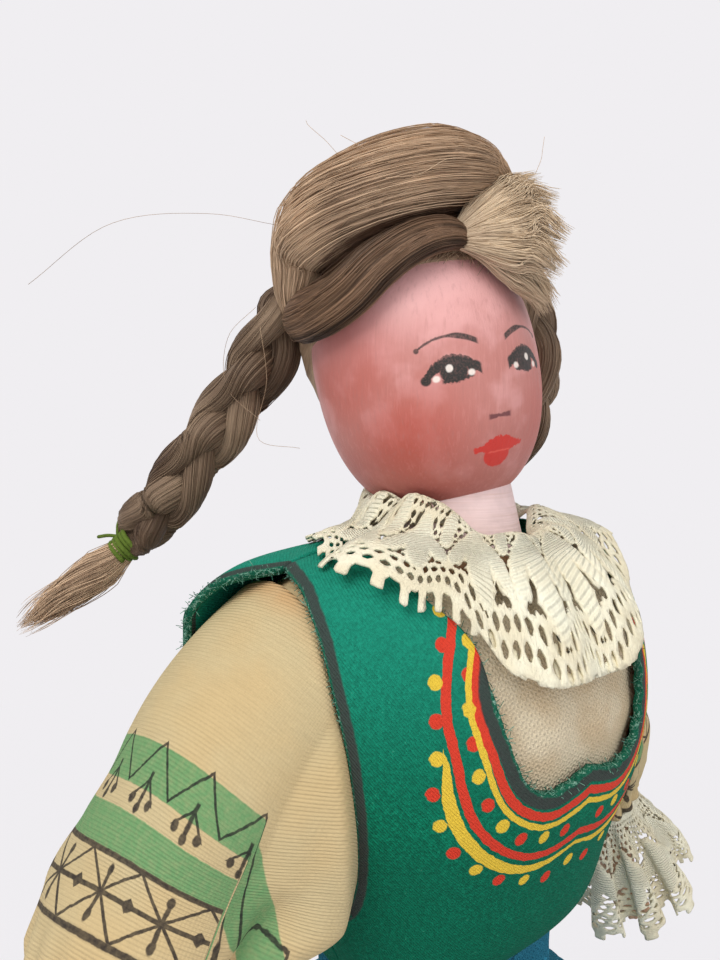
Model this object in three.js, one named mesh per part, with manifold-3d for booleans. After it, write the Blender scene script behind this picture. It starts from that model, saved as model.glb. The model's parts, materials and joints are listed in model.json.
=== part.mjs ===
// Folk costume doll: turned wooden head, neck, torso, arms and legs, dressed in a felt vest over a
// linen blouse with printed sleeves, a lace collar and lace cuffs, a gathered skirt and a petticoat.
// Millimetres, +Z up. The doll faces -Y and its left hand is at +X. The origin lies on the floor,
// under the middle of the doll.
import * as THREE from "three";
import { LoftGeometry } from "three/addons/geometries/LoftGeometry.js";
import { mergeGeometries, mergeVertices } from "three/addons/utils/BufferGeometryUtils.js";
import Module from "manifold-3d";

const wasm = await Module();
wasm.setup();

// Gap that pieces keep where one seats on or in another, and the wider ones between layers of
// cloth and between the cloth and the wood under it
const CLEARANCE = 0.4;
const CLOTH_CLEARANCE = 0.8;
const BLOCK_CLEARANCE = 1.4;

// Boots and legs
const BOOT_LENGTH = 44;
const BOOT_WIDTH = 19;
const BOOT_HEIGHT = 44;
const BOOT_HEEL_REACH = 13;
const BOOT_SHAFT_DEPTH = 20;
const BOOT_INSTEP_HEIGHT = 22;
const BOOT_TOE_HEIGHT = 12;
const BOOT_EDGE_ROUNDING = 2;
const BOOT_SOCKET_DEPTH = 20;
const LEG_SPREAD = 14;
const LEG_DIAMETER = 12;
const LEG_LENGTH = 74;

// Hip block and the dowel that joins it to the torso
const HIP_HEIGHT = 31;
const HIP_HALF_WIDTH = 22.5;
const HIP_HALF_DEPTH = 15;
const HIP_SOCKET_DEPTH = 16;
const WAIST_DOWEL_DIAMETER = 11;
const WAIST_DOWEL_DEPTH = 17;

// Dressed torso: the vest's outside is the outline that every layer under or over it follows
const TORSO_HEIGHT = 93;
const WAIST_HALF_WIDTH = 24;
const CHEST_HALF_WIDTH = 39;
const NECK_HOLE_HALF_WIDTH = 17;
const WAIST_FRONT = 17;
const BUST_FRONT = 33;
const NECK_HOLE_FRONT = 19;
const WAIST_BACK = 20;
const CHEST_BACK = 23;
const NECK_HOLE_BACK = 11;
const BODY_SQUARENESS = 2.5;

// Cloth layers on the torso, and the lace collar over them
const VEST_THICKNESS = 1.4;
const BLOUSE_THICKNESS = 1;
const LACE_THICKNESS = 1.6;
const COLLAR_NECK_GAP = 1.1;
const COLLAR_STAND = 2.4;

// Vest and blouse edges, as shares of the torso's height. The side and shoulder seams stop short of
// one another, in degrees from the front; a panel's edge is straight for its first share of rows
const PANEL_BREAK = 1 / 3;
const FRONT_SEAM = 89.5;
const BACK_SEAM = 90.5;
const HEM_FRONT = 0.237;
const HEM_SIDE = 0.178;
const ARMHOLE_FOOT = 0.312;
const SHOULDER_POINT = 0.952;
const NOTCH = 0.618;
const BLOUSE_NECK = 0.935;
const BACK_NECK = 0.86;

// Neck and head, turned about one leaning axis
const NECK_PLACE_FORWARD = 5;
const NECK_LEAN_SIDE = -0.125;
const NECK_LEAN_BACK = 0.197;
const NECK_SINK = 3;
const NECK_DIAMETER = 21;
const NECK_LENGTH = 11.2;
const NECK_TENON_DIAMETER = 15;
const NECK_TENON_DEPTH = 20;
const HEAD_SPIGOT_DIAMETER = 12;
const HEAD_SPIGOT_LENGTH = 15;
const HEAD_RADIUS = 20;
const HEAD_CHIN_DROP = 25;
const HEAD_CROWN_RISE = 27;
const HEAD_SEAT_DROP = 21.5;
const HEAD_YAW = -8;

// Hair on the head: a cap, a crown roll, a hank over the brow and a tuft where the hair is tucked in
const HAIR_THICKNESS = 3;
const HAIRLINE_HEIGHT = 5.5;
const HAIRLINE_SLOPE = 34;
const CROWN_ROLL_RADIUS = 8.6;
const BROW_HANK_RADIUS = 4.6;
const TUFT_RADIUS = 5.2;
const BRAID_RADIUS = 4.6;
const BRAID_LOBE = 0.5;
const BRAID_LOBES = 7;
const BRAID_PLAIT_SHARE = 0.76;
const BRAID_TIE_RADIUS = 2.6;
const BRAID_TIE_LENGTH = 5;
const BRAID_TIE_WALL = 1.3;
const BRAID_TAIL_RADIUS = 4.2;

// Arms: the hinge place, the way an arm hangs, and what is on it
const SHOULDER_HALF_SPAN = 40;
const SHOULDER_BACK = 2;
const SHOULDER_HEIGHT = 0.742;
const ARM_OUT = 26;
const ARM_BACK = 6;
const ARM_DOWN = 50;
const ARM_LENGTH = 88;
const ARM_DIAMETER = 11;
const WRIST_DIAMETER = 8.6;
const ARM_HEAD_RADIUS = 8;
const PEG_DIAMETER = 6.4;
const PEG_DEPTH = 15;
const PEG_HEAD_RADIUS = 4.6;
const PEG_HEAD_THICKNESS = 2.2;
const HAND_LENGTH = 19;
const PALM_HALF_WIDTH = 5;
const PALM_HALF_THICKNESS = 3;
const SLEEVE_LENGTH = 58;
const SLEEVE_RADIUS = 15.5;
const SLEEVE_FULLNESS = 0.6;
const SLEEVE_GATHER_RADIUS = 9;
const SLEEVE_WALL = 1.4;
const CUFF_HEAD = 5;
const CUFF_LENGTH = 32;
const CUFF_RADIUS = 16.5;

// Skirt and petticoat
const WAISTBAND_DROP = 3;
const SKIRT_LENGTH = 110;
const SKIRT_HEM_RADIUS = 80;
const SKIRT_THICKNESS = 1.6;
const SKIRT_GORES = 8;
const SKIRT_FOLDS = 16;
const SKIRT_FOLD_DEPTH = 3.4;
const SKIRT_FLARE = 0.6;
const PETTICOAT_DROP = 12;
const PETTICOAT_LENGTH = 91;
const PETTICOAT_INSET = 12;
const PETTICOAT_THICKNESS = 1.2;

// Fineness of the facets
const ROUND_STEPS = 22;
const PEG_STEPS = 14;
const HAIR_SIDES = 10;
const MERGE_DISTANCE = 1e-4;

// Heights that the pieces stack up to
const hipFoot = BOOT_HEIGHT + LEG_LENGTH;
const torsoFoot = hipFoot + HIP_HEIGHT;
const torsoTop = torsoFoot + TORSO_HEIGHT;

const mix = THREE.MathUtils.lerp;
const radians = THREE.MathUtils.degToRad;
const HALF_TURN = 180;

const doll = new THREE.Group();

const FINISHES = {
  headWood: { color: 0xcd8278, roughness: 0.55 },
  neckWood: { color: 0xe6cdcd, roughness: 0.6 },
  bareWood: { color: 0xb98f72, roughness: 0.65 },
  bootPaint: { color: 0x33272a, roughness: 0.45 },
  hair: { color: 0x8f7860, roughness: 0.75 },
  tieThread: { color: 0x6e8c32, roughness: 0.85 },
  vestFelt: { color: 0x147355, roughness: 0.95 },
  linen: { color: 0xe1cda0, roughness: 0.95 },
  lace: { color: 0xd7cdaa, roughness: 0.95 },
  skirtCloth: { color: 0x32738c, roughness: 0.95 },
  petticoatCloth: { color: 0xe8e2d2, roughness: 0.95 },
};

// A named piece of the doll, in the doll's own frame or in that of a turned group
function addPiece(name, geometry, finish, group = doll) {
  const material = new THREE.MeshStandardMaterial({ ...FINISHES[finish], metalness: 0 });
  const piece = new THREE.Mesh(geometry, material);
  piece.name = name;
  group.add(piece);
  return piece;
}

// Joining and cutting of closed shapes
function pointsOnly(geometry) {
  const bare = new THREE.BufferGeometry();
  bare.setAttribute("position", geometry.getAttribute("position"));
  bare.setIndex(geometry.index);
  return bare;
}

function solidOf(geometry) {
  const merged = mergeVertices(pointsOnly(geometry), MERGE_DISTANCE);
  const mesh = new wasm.Mesh({
    numProp: 3,
    vertProperties: new Float32Array(merged.attributes.position.array),
    triVerts: new Uint32Array(merged.index.array),
  });
  return new wasm.Manifold(mesh);
}

function geometryOf(solid) {
  const mesh = solid.getMesh();
  const geometry = new THREE.BufferGeometry();
  geometry.setAttribute("position", new THREE.BufferAttribute(mesh.vertProperties, 3));
  geometry.setIndex(new THREE.BufferAttribute(mesh.triVerts, 1));
  geometry.computeVertexNormals();
  return geometry;
}

function cut(geometry, ...tools) {
  return geometryOf(tools.reduce((solid, tool) => solid.subtract(solidOf(tool)), solidOf(geometry)));
}

function join(geometry, ...others) {
  return geometryOf(others.reduce((solid, other) => solid.add(solidOf(other)), solidOf(geometry)));
}

// The same shape on the other side of the doll, with its faces still pointing out
function mirrored(geometry) {
  const copy = new THREE.BufferGeometry().copy(geometry).scale(-1, 1, 1);
  const order = copy.index.array;
  for (let i = 0; i < order.length; i += 3) {
    [order[i + 1], order[i + 2]] = [order[i + 2], order[i + 1]];
  }
  return copy;
}

// A shape given in the doll's frame, expressed in the frame of a turned group
function inFrameOf(group, geometry) {
  group.updateMatrixWorld(true);
  return geometry.clone().applyMatrix4(group.matrixWorld.clone().invert());
}

// A shape turned on a lathe about +Z from [radius, height] points going up
function turned(profile, steps = ROUND_STEPS) {
  const points = profile.map(([radius, height]) => new THREE.Vector2(radius, height));
  return new THREE.LatheGeometry(points, steps).rotateX(Math.PI / 2);
}

// A round rod about +Z between two heights
function rod(radius, low, high, steps = PEG_STEPS) {
  return turned([[0, low], [radius, low], [radius, high], [0, high]], steps);
}

// A round tube along a curve, with a radius for each share of its length and closed ends
function hairTube(curve, radiusAt, steps, sides = HAIR_SIDES) {
  const frames = curve.computeFrenetFrames(steps);
  const sections = [];
  for (let i = 0; i <= steps; i++) {
    const centre = curve.getPointAt(i / steps);
    const radius = radiusAt(i / steps);
    const section = [];
    for (let j = 0; j < sides; j++) {
      const turn = (j / sides) * 2 * Math.PI;
      const point = centre.clone();
      point.addScaledVector(frames.normals[i], radius * Math.cos(turn));
      point.addScaledVector(frames.binormals[i], radius * Math.sin(turn));
      section.push(point);
    }
    sections.push(section);
  }
  return new LoftGeometry(sections, { capStart: true, capEnd: true });
}

// The dressed body's outline: stations going up, with the share of the height and how far each
// station has gone from the waist's size to the chest's
const bodyStations = [
  { up: 0, half: WAIST_HALF_WIDTH, front: WAIST_FRONT, back: WAIST_BACK },
  { up: 0.172, half: WAIST_HALF_WIDTH, front: WAIST_FRONT, back: WAIST_BACK },
  { up: 0.28, ...towardsChest(0.27, 0.44, 0.33) },
  { up: 0.419, ...towardsChest(0.47, 0.69, 0.67) },
  { up: 0.548, ...towardsChest(0.73, 0.94, 1) },
  { up: 0.677, ...towardsChest(0.9, 1, 1) },
  { up: 0.806, ...towardsChest(1, 0.82, 0.7) },
  { up: 0.892, ...towardsNeckHole(0.05, 0.5, 0.3) },
  { up: 0.946, ...towardsNeckHole(0.23, 0.79, 0.65) },
  { up: 0.978, ...towardsNeckHole(0.59, 0.93, 0.9) },
  { up: 1, ...towardsNeckHole(1, 1, 1) },
];

function towardsChest(width, front, back) {
  return {
    half: mix(WAIST_HALF_WIDTH, CHEST_HALF_WIDTH, width),
    front: mix(WAIST_FRONT, BUST_FRONT, front),
    back: mix(WAIST_BACK, CHEST_BACK, back),
  };
}

function towardsNeckHole(width, front, back) {
  return {
    half: mix(CHEST_HALF_WIDTH, NECK_HOLE_HALF_WIDTH, width),
    front: mix(BUST_FRONT, NECK_HOLE_FRONT, front),
    back: mix(CHEST_BACK, NECK_HOLE_BACK, back),
  };
}

// Distance run along the side of the body up to each station
const stationRuns = [0];
for (let i = 1; i < bodyStations.length; i++) {
  const [from, to] = [bodyStations[i - 1], bodyStations[i]];
  const step = Math.hypot((to.up - from.up) * TORSO_HEIGHT, to.half - from.half);
  stationRuns.push(stationRuns[i - 1] + step);
}
const fullRun = stationRuns[stationRuns.length - 1];
const bodyOutline = new THREE.CubicInterpolant(
  stationRuns,
  bodyStations.flatMap(({ up, half, front, back }) => [up * TORSO_HEIGHT, half, front, back]),
  4,
);

// Point of the outline at an angle from the front, positive to the doll's left, and a run up the side
function outlinePoint(angle, run) {
  const [height, half, front, back] = bodyOutline.evaluate(THREE.MathUtils.clamp(run, 0, fullRun));
  const across = Math.sin(radians(angle));
  const ahead = Math.cos(radians(angle));
  const sum =
    (Math.abs(across) / half) ** BODY_SQUARENESS +
    (Math.abs(ahead) / (ahead > 0 ? front : back)) ** BODY_SQUARENESS;
  const radius = sum ** (-1 / BODY_SQUARENESS);
  return new THREE.Vector3(radius * across, -radius * ahead, torsoFoot + height);
}

// The same point moved out from the outline, or in where the offset is negative
function bodyPoint(angle, run, offset) {
  const angleStep = 0.5;
  const runStep = 0.5;
  const across = outlinePoint(angle + angleStep, run).sub(outlinePoint(angle - angleStep, run));
  const up = outlinePoint(angle, run + runStep).sub(outlinePoint(angle, run - runStep));
  const out = across.cross(up).normalize();
  return outlinePoint(angle, run).addScaledVector(out, offset);
}

// Run up the side at a share of the torso's height
function runAt(share) {
  let low = 0;
  let high = fullRun;
  while (high - low > MERGE_DISTANCE) {
    const middle = (low + high) / 2;
    if (bodyOutline.evaluate(middle)[0] < share * TORSO_HEIGHT) low = middle;
    else high = middle;
  }
  return low;
}

// Offsets of each layer from the outline
const vestLayer = { inner: -VEST_THICKNESS, outer: 0 };
const blouseOuter = vestLayer.inner - CLOTH_CLEARANCE;
const blouseLayer = { inner: blouseOuter - BLOUSE_THICKNESS, outer: blouseOuter };
const blockOffset = blouseLayer.inner - BLOCK_CLEARANCE;
const collarLayer = { inner: CLOTH_CLEARANCE, outer: CLOTH_CLEARANCE + LACE_THICKNESS };

// Neck frame: on the leaning axis, where the neck leaves the torso
const neckFrame = new THREE.Group();
neckFrame.position.set(0, -NECK_PLACE_FORWARD, torsoTop - NECK_SINK);
const neckAxis = new THREE.Vector3(NECK_LEAN_SIDE, NECK_LEAN_BACK, 1).normalize();
neckFrame.quaternion.setFromUnitVectors(new THREE.Vector3(0, 0, 1), neckAxis);
doll.add(neckFrame);

// Turned neck: tenon in the torso, the part that shows, and a spigot that the head turns on
function neckShape(gap) {
  const tenon = NECK_TENON_DIAMETER / 2 + gap;
  const body = NECK_DIAMETER / 2 + gap;
  const spigot = HEAD_SPIGOT_DIAMETER / 2 + gap;
  const top = NECK_LENGTH + HEAD_SPIGOT_LENGTH + gap;
  return turned([
    [0, -NECK_TENON_DEPTH - gap],
    [tenon, -NECK_TENON_DEPTH - gap],
    [tenon, -gap],
    [body, -gap],
    [body, NECK_LENGTH + gap],
    [spigot, NECK_LENGTH + gap],
    [spigot, top],
    [0, top],
  ]);
}
addPiece("neck", neckShape(0), "neckWood", neckFrame);
const neckRoom = neckShape(CLEARANCE);

// Head frame: at the middle of the egg, its -Y where the face looks
const headFrame = new THREE.Group();
headFrame.position.z = NECK_LENGTH + CLEARANCE + HEAD_SEAT_DROP;
headFrame.rotation.z = radians(HEAD_YAW);
neckFrame.add(headFrame);

// Egg of the head grown evenly by a thickness
function egg(grown, steps = ROUND_STEPS) {
  const rows = 12;
  const profile = [];
  for (let i = 0; i <= rows; i++) {
    const rise = -Math.cos((Math.PI * i) / rows);
    const reach = i === 0 || i === rows ? 0 : Math.sin((Math.PI * i) / rows);
    const half = rise < 0 ? HEAD_CHIN_DROP : HEAD_CROWN_RISE;
    profile.push([(HEAD_RADIUS + grown) * reach, (half + grown) * rise]);
  }
  return turned(profile, steps);
}

const neckRoomInHead = neckRoom.clone().translate(0, 0, -headFrame.position.z);
addPiece("head", cut(egg(0), neckRoomInHead), "headWood", headFrame);

// Point off the head: an angle from the face to the doll's left, a rise from chin -1 to crown 1,
// and a reach in head sizes
function headPoint(angle, rise, reach) {
  const level = Math.sqrt(1 - rise * rise) * HEAD_RADIUS * reach;
  const half = rise < 0 ? HEAD_CHIN_DROP : HEAD_CROWN_RISE;
  const turn = radians(angle);
  return new THREE.Vector3(level * Math.sin(turn), -level * Math.cos(turn), rise * half * reach);
}

// Hair cap: a shell on the skull above a sloping hairline
function hairCap() {
  const room = 6 * HEAD_RADIUS;
  const below = new THREE.BoxGeometry(room, room, room).translate(0, 0, -room / 2);
  below.rotateX(radians(-HAIRLINE_SLOPE)).translate(0, 0, HAIRLINE_HEIGHT);
  return cut(egg(HAIR_THICKNESS), egg(CLEARANCE), below);
}
addPiece("hair_cap", hairCap(), "hair", headFrame);
const hairBed = egg(HAIR_THICKNESS + CLEARANCE);

// Rolls of hair lie on the cap, full in the middle and slim at both ends
function swelling(share, slim) {
  return mix(slim, 1, Math.sin(Math.PI * share) ** 0.7);
}
const crownPath = new THREE.CatmullRomCurve3([
  headPoint(-107, 0.49, 1.2),
  headPoint(-86, 0.83, 1.23),
  headPoint(-20, 0.92, 1.28),
  headPoint(13, 0.74, 1.33),
  headPoint(27, 0.59, 1.36),
]);
const crownRoll = (grown) =>
  hairTube(crownPath, (share) => CROWN_ROLL_RADIUS * swelling(share, 0.55) + grown, 16);
addPiece("crown_roll", cut(crownRoll(0), hairBed), "hair", headFrame);

const hankPath = new THREE.CatmullRomCurve3([
  headPoint(-98, 0.22, 1.24),
  headPoint(-56, 0.34, 1.2),
  headPoint(-20, 0.46, 1.2),
  headPoint(12, 0.45, 1.26),
]);
const browHank = (grown) =>
  hairTube(hankPath, (share) => BROW_HANK_RADIUS * swelling(share, 0.6) + grown, 12);
const browHankShape = cut(browHank(0), hairBed, crownRoll(CLEARANCE));
addPiece("brow_hank", browHankShape, "hair", headFrame);

const tuftPath = new THREE.CatmullRomCurve3([
  headPoint(52, 0.2, 1.34),
  headPoint(46, 0.48, 1.42),
  headPoint(50, 0.58, 1.62),
]);
const tuft = hairTube(tuftPath, (share) => TUFT_RADIUS * swelling(share, 0.5), 8);
const tuftShape = cut(tuft, hairBed, crownRoll(CLEARANCE), browHank(CLEARANCE));
addPiece("knot_tuft", tuftShape, "hair", headFrame);

// A braid: plaited length, thread tie and loose tail along one path, given by its root on the
// head and the steps away from it
function addBraid(side, root, steps, trimmings) {
  const points = [root, ...steps.map(([x, y, z]) => root.clone().add(new THREE.Vector3(x, y, z)))];
  const path = new THREE.CatmullRomCurve3(points);
  const length = path.getLength();
  const tieHalf = BRAID_TIE_LENGTH / 2 / length;
  const plaitEnd = BRAID_PLAIT_SHARE + tieHalf;
  const tailStart = plaitEnd + CLEARANCE / length;
  const stretch = (from, to, count) => {
    const places = [];
    for (let i = 0; i <= count; i++) places.push(path.getPointAt(mix(from, to, i / count)));
    return new THREE.CatmullRomCurve3(places);
  };
  const plaitRadius = (share) => {
    const along = share * plaitEnd;
    const lobe = BRAID_LOBE * Math.cos(2 * Math.PI * BRAID_LOBES * share);
    const tieTop = BRAID_PLAIT_SHARE - tieHalf;
    const pinch = THREE.MathUtils.smoothstep(along, tieTop - 2 * tieHalf, tieTop);
    return mix(BRAID_RADIUS + lobe, BRAID_TIE_RADIUS, pinch);
  };
  const plait = hairTube(stretch(0, plaitEnd, 24), plaitRadius, 26, 7);
  addPiece(`${side}_braid`, cut(plait, ...trimmings), "hair", headFrame);

  const tieCurve = stretch(BRAID_PLAIT_SHARE - tieHalf, BRAID_PLAIT_SHARE + tieHalf, 2);
  const wide = hairTube(tieCurve, () => BRAID_TIE_RADIUS + CLEARANCE + BRAID_TIE_WALL, 2);
  const through = stretch(BRAID_PLAIT_SHARE - 2 * tieHalf, BRAID_PLAIT_SHARE + 2 * tieHalf, 2);
  const hole = hairTube(through, () => BRAID_TIE_RADIUS + CLEARANCE, 2);
  addPiece(`${side}_braid_tie`, cut(wide, hole), "tieThread", headFrame);

  const tailRadius = (share) =>
    mix(BRAID_TIE_RADIUS, BRAID_TAIL_RADIUS, Math.sin(Math.PI * Math.min(1, share * 1.2 + 0.05)));
  const thinned = (share) => tailRadius(share) * (1 - 0.5 * share);
  const tail = hairTube(stretch(tailStart, 1, 8), thinned, 8, 8);
  addPiece(`${side}_braid_tail`, tail, "hair", headFrame);
}
addBraid(
  "right",
  headPoint(-133, 0.5, 1.3),
  [[-7.5, 5, -9], [-19, 12.5, -22], [-33.6, 21.8, -37.4], [-53, 32.8, -49]],
  [hairBed, crownRoll(CLEARANCE)],
);
addBraid(
  "left",
  headPoint(101, 0.5, 1.24),
  [
    [5.2, 0.8, -6],
    [6, 2, -23.5],
    [3.2, 10.5, -33],
    [2.6, 28.7, -37],
    [7.6, 47.5, -45.5],
    [13.6, 61, -58.5],
  ],
  [hairBed],
);

// Torso block: closed rings inside the cloth, bored for the neck, the waist dowel and the arm pegs
const shoulderPlace = (side) =>
  new THREE.Vector3(
    side * SHOULDER_HALF_SPAN,
    SHOULDER_BACK,
    torsoFoot + SHOULDER_HEIGHT * TORSO_HEIGHT,
  );
const pegInner = outlinePoint(90, runAt(SHOULDER_HEIGHT)).x + blockOffset - PEG_DEPTH;
const pegOuter = SHOULDER_HALF_SPAN + ARM_HEAD_RADIUS + CLEARANCE;

function alongX(geometry, side) {
  const peg = shoulderPlace(side);
  return geometry.rotateY((side * Math.PI) / 2).translate(0, peg.y, peg.z);
}

function pegRoom(side) {
  return alongX(rod(PEG_DIAMETER / 2 + CLEARANCE, pegInner - CLEARANCE, 2 * pegOuter), side);
}

function torsoBlock(grown) {
  const sides = 24;
  const sections = stationRuns.map((run) => {
    const section = [];
    for (let j = 0; j < sides; j++) {
      section.push(bodyPoint((j / sides) * 2 * HALF_TURN, run, blockOffset + grown));
    }
    return section;
  });
  sections[0].forEach((point) => point.setZ(torsoFoot + CLEARANCE - grown));
  return new LoftGeometry(sections, { capStart: true, capEnd: true });
}
neckFrame.updateMatrixWorld(true);
const neckRoomInTorso = neckRoom.clone().applyMatrix4(neckFrame.matrixWorld);
const dowelRoom = rod(
  WAIST_DOWEL_DIAMETER / 2 + CLEARANCE,
  torsoFoot - WAIST_DOWEL_DEPTH - CLEARANCE,
  torsoFoot + WAIST_DOWEL_DEPTH + CLEARANCE,
);
addPiece(
  "torso_block",
  cut(torsoBlock(0), neckRoomInTorso, dowelRoom, pegRoom(-1), pegRoom(1)),
  "bareWood",
);
addPiece(
  "waist_dowel",
  rod(WAIST_DOWEL_DIAMETER / 2, torsoFoot - WAIST_DOWEL_DEPTH, torsoFoot + WAIST_DOWEL_DEPTH),
  "bareWood",
);

// Legs and boots under an oval hip block
const legLow = BOOT_HEIGHT - BOOT_SOCKET_DEPTH;
const legHigh = hipFoot + HIP_SOCKET_DEPTH;
const legRod = (side, gap) =>
  rod(LEG_DIAMETER / 2 + gap, legLow - gap, legHigh + gap).translate(side * LEG_SPREAD, 0, 0);

function hipBlock() {
  const oval = new THREE.Shape().absellipse(0, 0, HIP_HALF_WIDTH, HIP_HALF_DEPTH, 0, 2 * Math.PI);
  return new THREE.ExtrudeGeometry(oval, {
    depth: HIP_HEIGHT,
    bevelEnabled: false,
    curveSegments: ROUND_STEPS / 2,
  }).translate(0, 0, hipFoot);
}
const hipShape = cut(hipBlock(), legRod(-1, CLEARANCE), legRod(1, CLEARANCE), dowelRoom);
addPiece("hip_block", hipShape, "bareWood");

// Boot: its side outline, heel to toe, carried across its width with rounded edges
function boot(side) {
  const rounding = BOOT_EDGE_ROUNDING;
  const toe = BOOT_HEEL_REACH - BOOT_LENGTH;
  const shaftFront = BOOT_HEEL_REACH - BOOT_SHAFT_DEPTH;
  const outline = new THREE.Shape();
  outline.moveTo(BOOT_HEEL_REACH, 0);
  outline.lineTo(BOOT_HEEL_REACH, BOOT_HEIGHT);
  outline.lineTo(shaftFront, BOOT_HEIGHT);
  outline.lineTo(shaftFront, BOOT_INSTEP_HEIGHT);
  const vamp = mix(shaftFront, toe, 0.6);
  outline.quadraticCurveTo(mix(shaftFront, toe, 0.3), BOOT_TOE_HEIGHT, vamp, BOOT_TOE_HEIGHT);
  outline.quadraticCurveTo(toe, BOOT_TOE_HEIGHT, toe, 0);
  const body = new THREE.ExtrudeGeometry(outline, {
    depth: BOOT_WIDTH - 2 * rounding,
    bevelThickness: rounding,
    bevelSize: rounding,
    bevelOffset: -rounding,
    bevelSegments: 2,
    curveSegments: 5,
  });
  const axes = new THREE.Matrix4().makeBasis(
    new THREE.Vector3(0, 1, 0),
    new THREE.Vector3(0, 0, 1),
    new THREE.Vector3(1, 0, 0),
  );
  body.applyMatrix4(axes).translate(side * LEG_SPREAD - BOOT_WIDTH / 2 + rounding, 0, 0);
  return cut(body, legRod(side, CLEARANCE));
}
for (const [name, side] of [["right", -1], ["left", 1]]) {
  addPiece(`${name}_leg`, legRod(side, 0), "bareWood");
  addPiece(`${name}_boot`, boot(side), "bootPaint");
}

// Cloth panels on the torso. An edge is drawn in two stretches over angle and run: a straight one
// up to the break, and a curved one above it
const place = ([angle, share]) => new THREE.Vector2(angle, runAt(share));

function panelEdge(lower, upper) {
  const straight = new THREE.LineCurve(...lower.map(place));
  const curved = new THREE.SplineCurve(upper.map(place));
  return (share) =>
    share < PANEL_BREAK
      ? straight.getPointAt(share / PANEL_BREAK)
      : curved.getPointAt((share - PANEL_BREAK) / (1 - PANEL_BREAK));
}

// A layer of cloth between two edges, the first at the smaller angle
function clothPanel(firstEdge, secondEdge, layer, rows, columns) {
  const sections = [];
  for (let i = 0; i <= rows; i++) {
    const first = firstEdge(i / rows);
    const second = secondEdge(i / rows);
    const outerRow = [];
    const innerRow = [];
    for (let j = 0; j <= columns; j++) {
      const spot = first.clone().lerp(second, j / columns);
      outerRow.push(bodyPoint(spot.x, spot.y, layer.outer));
      innerRow.push(bodyPoint(spot.x, spot.y, layer.inner));
    }
    sections.push([...outerRow, ...innerRow.reverse()]);
  }
  return new LoftGeometry(sections, { capStart: true, capEnd: true });
}

// Both halves of a panel that lies across the middle of the doll, less the walls where they meet
function bothHalves(leftHalf) {
  const whole = mergeGeometries([pointsOnly(leftHalf), pointsOnly(mirrored(leftHalf))]);
  const points = whole.getAttribute("position");
  const offMiddle = (corner) => Math.abs(points.getX(corner)) > MERGE_DISTANCE;
  const kept = [];
  for (let i = 0; i < whole.index.count; i += 3) {
    const corners = [0, 1, 2].map((k) => whole.index.getX(i + k));
    if (corners.some(offMiddle)) kept.push(...corners);
  }
  whole.setIndex(kept);
  return geometryOf(solidOf(whole));
}

const frontArmhole = [
  [FRONT_SEAM, ARMHOLE_FOOT],
  [72, 0.39],
  [64, 0.52],
  [61.5, 0.66],
  [63, 0.77],
  [67, 0.86],
  [75, 0.92],
  [FRONT_SEAM, SHOULDER_POINT],
];
const backArmhole = [
  [BACK_SEAM, ARMHOLE_FOOT],
  [103, 0.39],
  [111, 0.54],
  [113, 0.68],
  [111, 0.81],
  [104, 0.9],
  [BACK_SEAM, SHOULDER_POINT],
];
const frontSide = [[FRONT_SEAM, HEM_SIDE], frontArmhole[0]];
const backSide = [[BACK_SEAM, HEM_SIDE], backArmhole[0]];
const frontSeam = panelEdge(frontSide, frontArmhole);
const backSeam = panelEdge(backSide, backArmhole);

const sweetheart = [
  [0, NOTCH],
  [9, 0.602],
  [17, 0.598],
  [25, 0.63],
  [30, 0.7],
  [34, 0.78],
  [38, 0.85],
  [52, 0.925],
  [FRONT_SEAM, 1],
];
const vestFront = clothPanel(
  panelEdge([[0, HEM_FRONT], sweetheart[0]], sweetheart),
  frontSeam,
  vestLayer,
  15,
  6,
);
addPiece("vest_front", bothHalves(vestFront), "vestFelt");

const backNeckline = [
  [BACK_SEAM, 1],
  [128, 0.95],
  [HALF_TURN, BACK_NECK],
].reverse();
const vestBack = clothPanel(
  backSeam,
  panelEdge([[HALF_TURN, HEM_SIDE], backNeckline[0]], backNeckline),
  vestLayer,
  12,
  6,
);
addPiece("vest_back", bothHalves(vestBack), "vestFelt");

// Blouse body: under the vest, closed up to the neck
const blouseNeckline = [
  [0, BLOUSE_NECK],
  [36, 0.955],
  [FRONT_SEAM, 1],
];
const blouseFront = clothPanel(
  panelEdge([[0, HEM_FRONT], blouseNeckline[0]], blouseNeckline),
  frontSeam,
  blouseLayer,
  12,
  5,
);
addPiece("blouse_front", bothHalves(blouseFront), "linen");
const blouseBack = clothPanel(
  backSeam,
  panelEdge([[HALF_TURN, HEM_SIDE], backNeckline[0]], backNeckline),
  blouseLayer,
  12,
  5,
);
addPiece("blouse_back", bothHalves(blouseBack), "linen");

// Lace collar: a ring that leaves the neck and lies on the vest down to an uneven outer edge
const collarEdge = new THREE.SplineCurve(
  [
    [0, 0.762],
    [22, 0.775],
    [42, 0.86],
    [58, 0.93],
    [75, 0.948],
    [90, 0.968],
    [112, 0.95],
    [145, 0.9],
    [HALF_TURN, 0.88],
  ].map(place),
);

function collarRing() {
  const around = 30;
  const down = 4;
  const sections = [];
  for (let i = 0; i <= around; i++) {
    const angle = mix(-HALF_TURN, HALF_TURN, i / around);
    const edge = collarEdge.getPoint(collarShare(Math.abs(angle))).y;
    const outerRow = [];
    const innerRow = [];
    for (let j = 0; j <= down; j++) {
      const run = mix(edge, fullRun, j / down);
      outerRow.push(bodyPoint(angle, run, collarLayer.outer));
      innerRow.push(bodyPoint(angle, run, collarLayer.inner));
    }
    const top = collarTop(angle);
    outerRow.push(top.clone().setZ(top.z + LACE_THICKNESS));
    innerRow.push(top);
    sections.push([...innerRow, ...outerRow.reverse()]);
  }
  return new LoftGeometry(sections);
}

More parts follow.
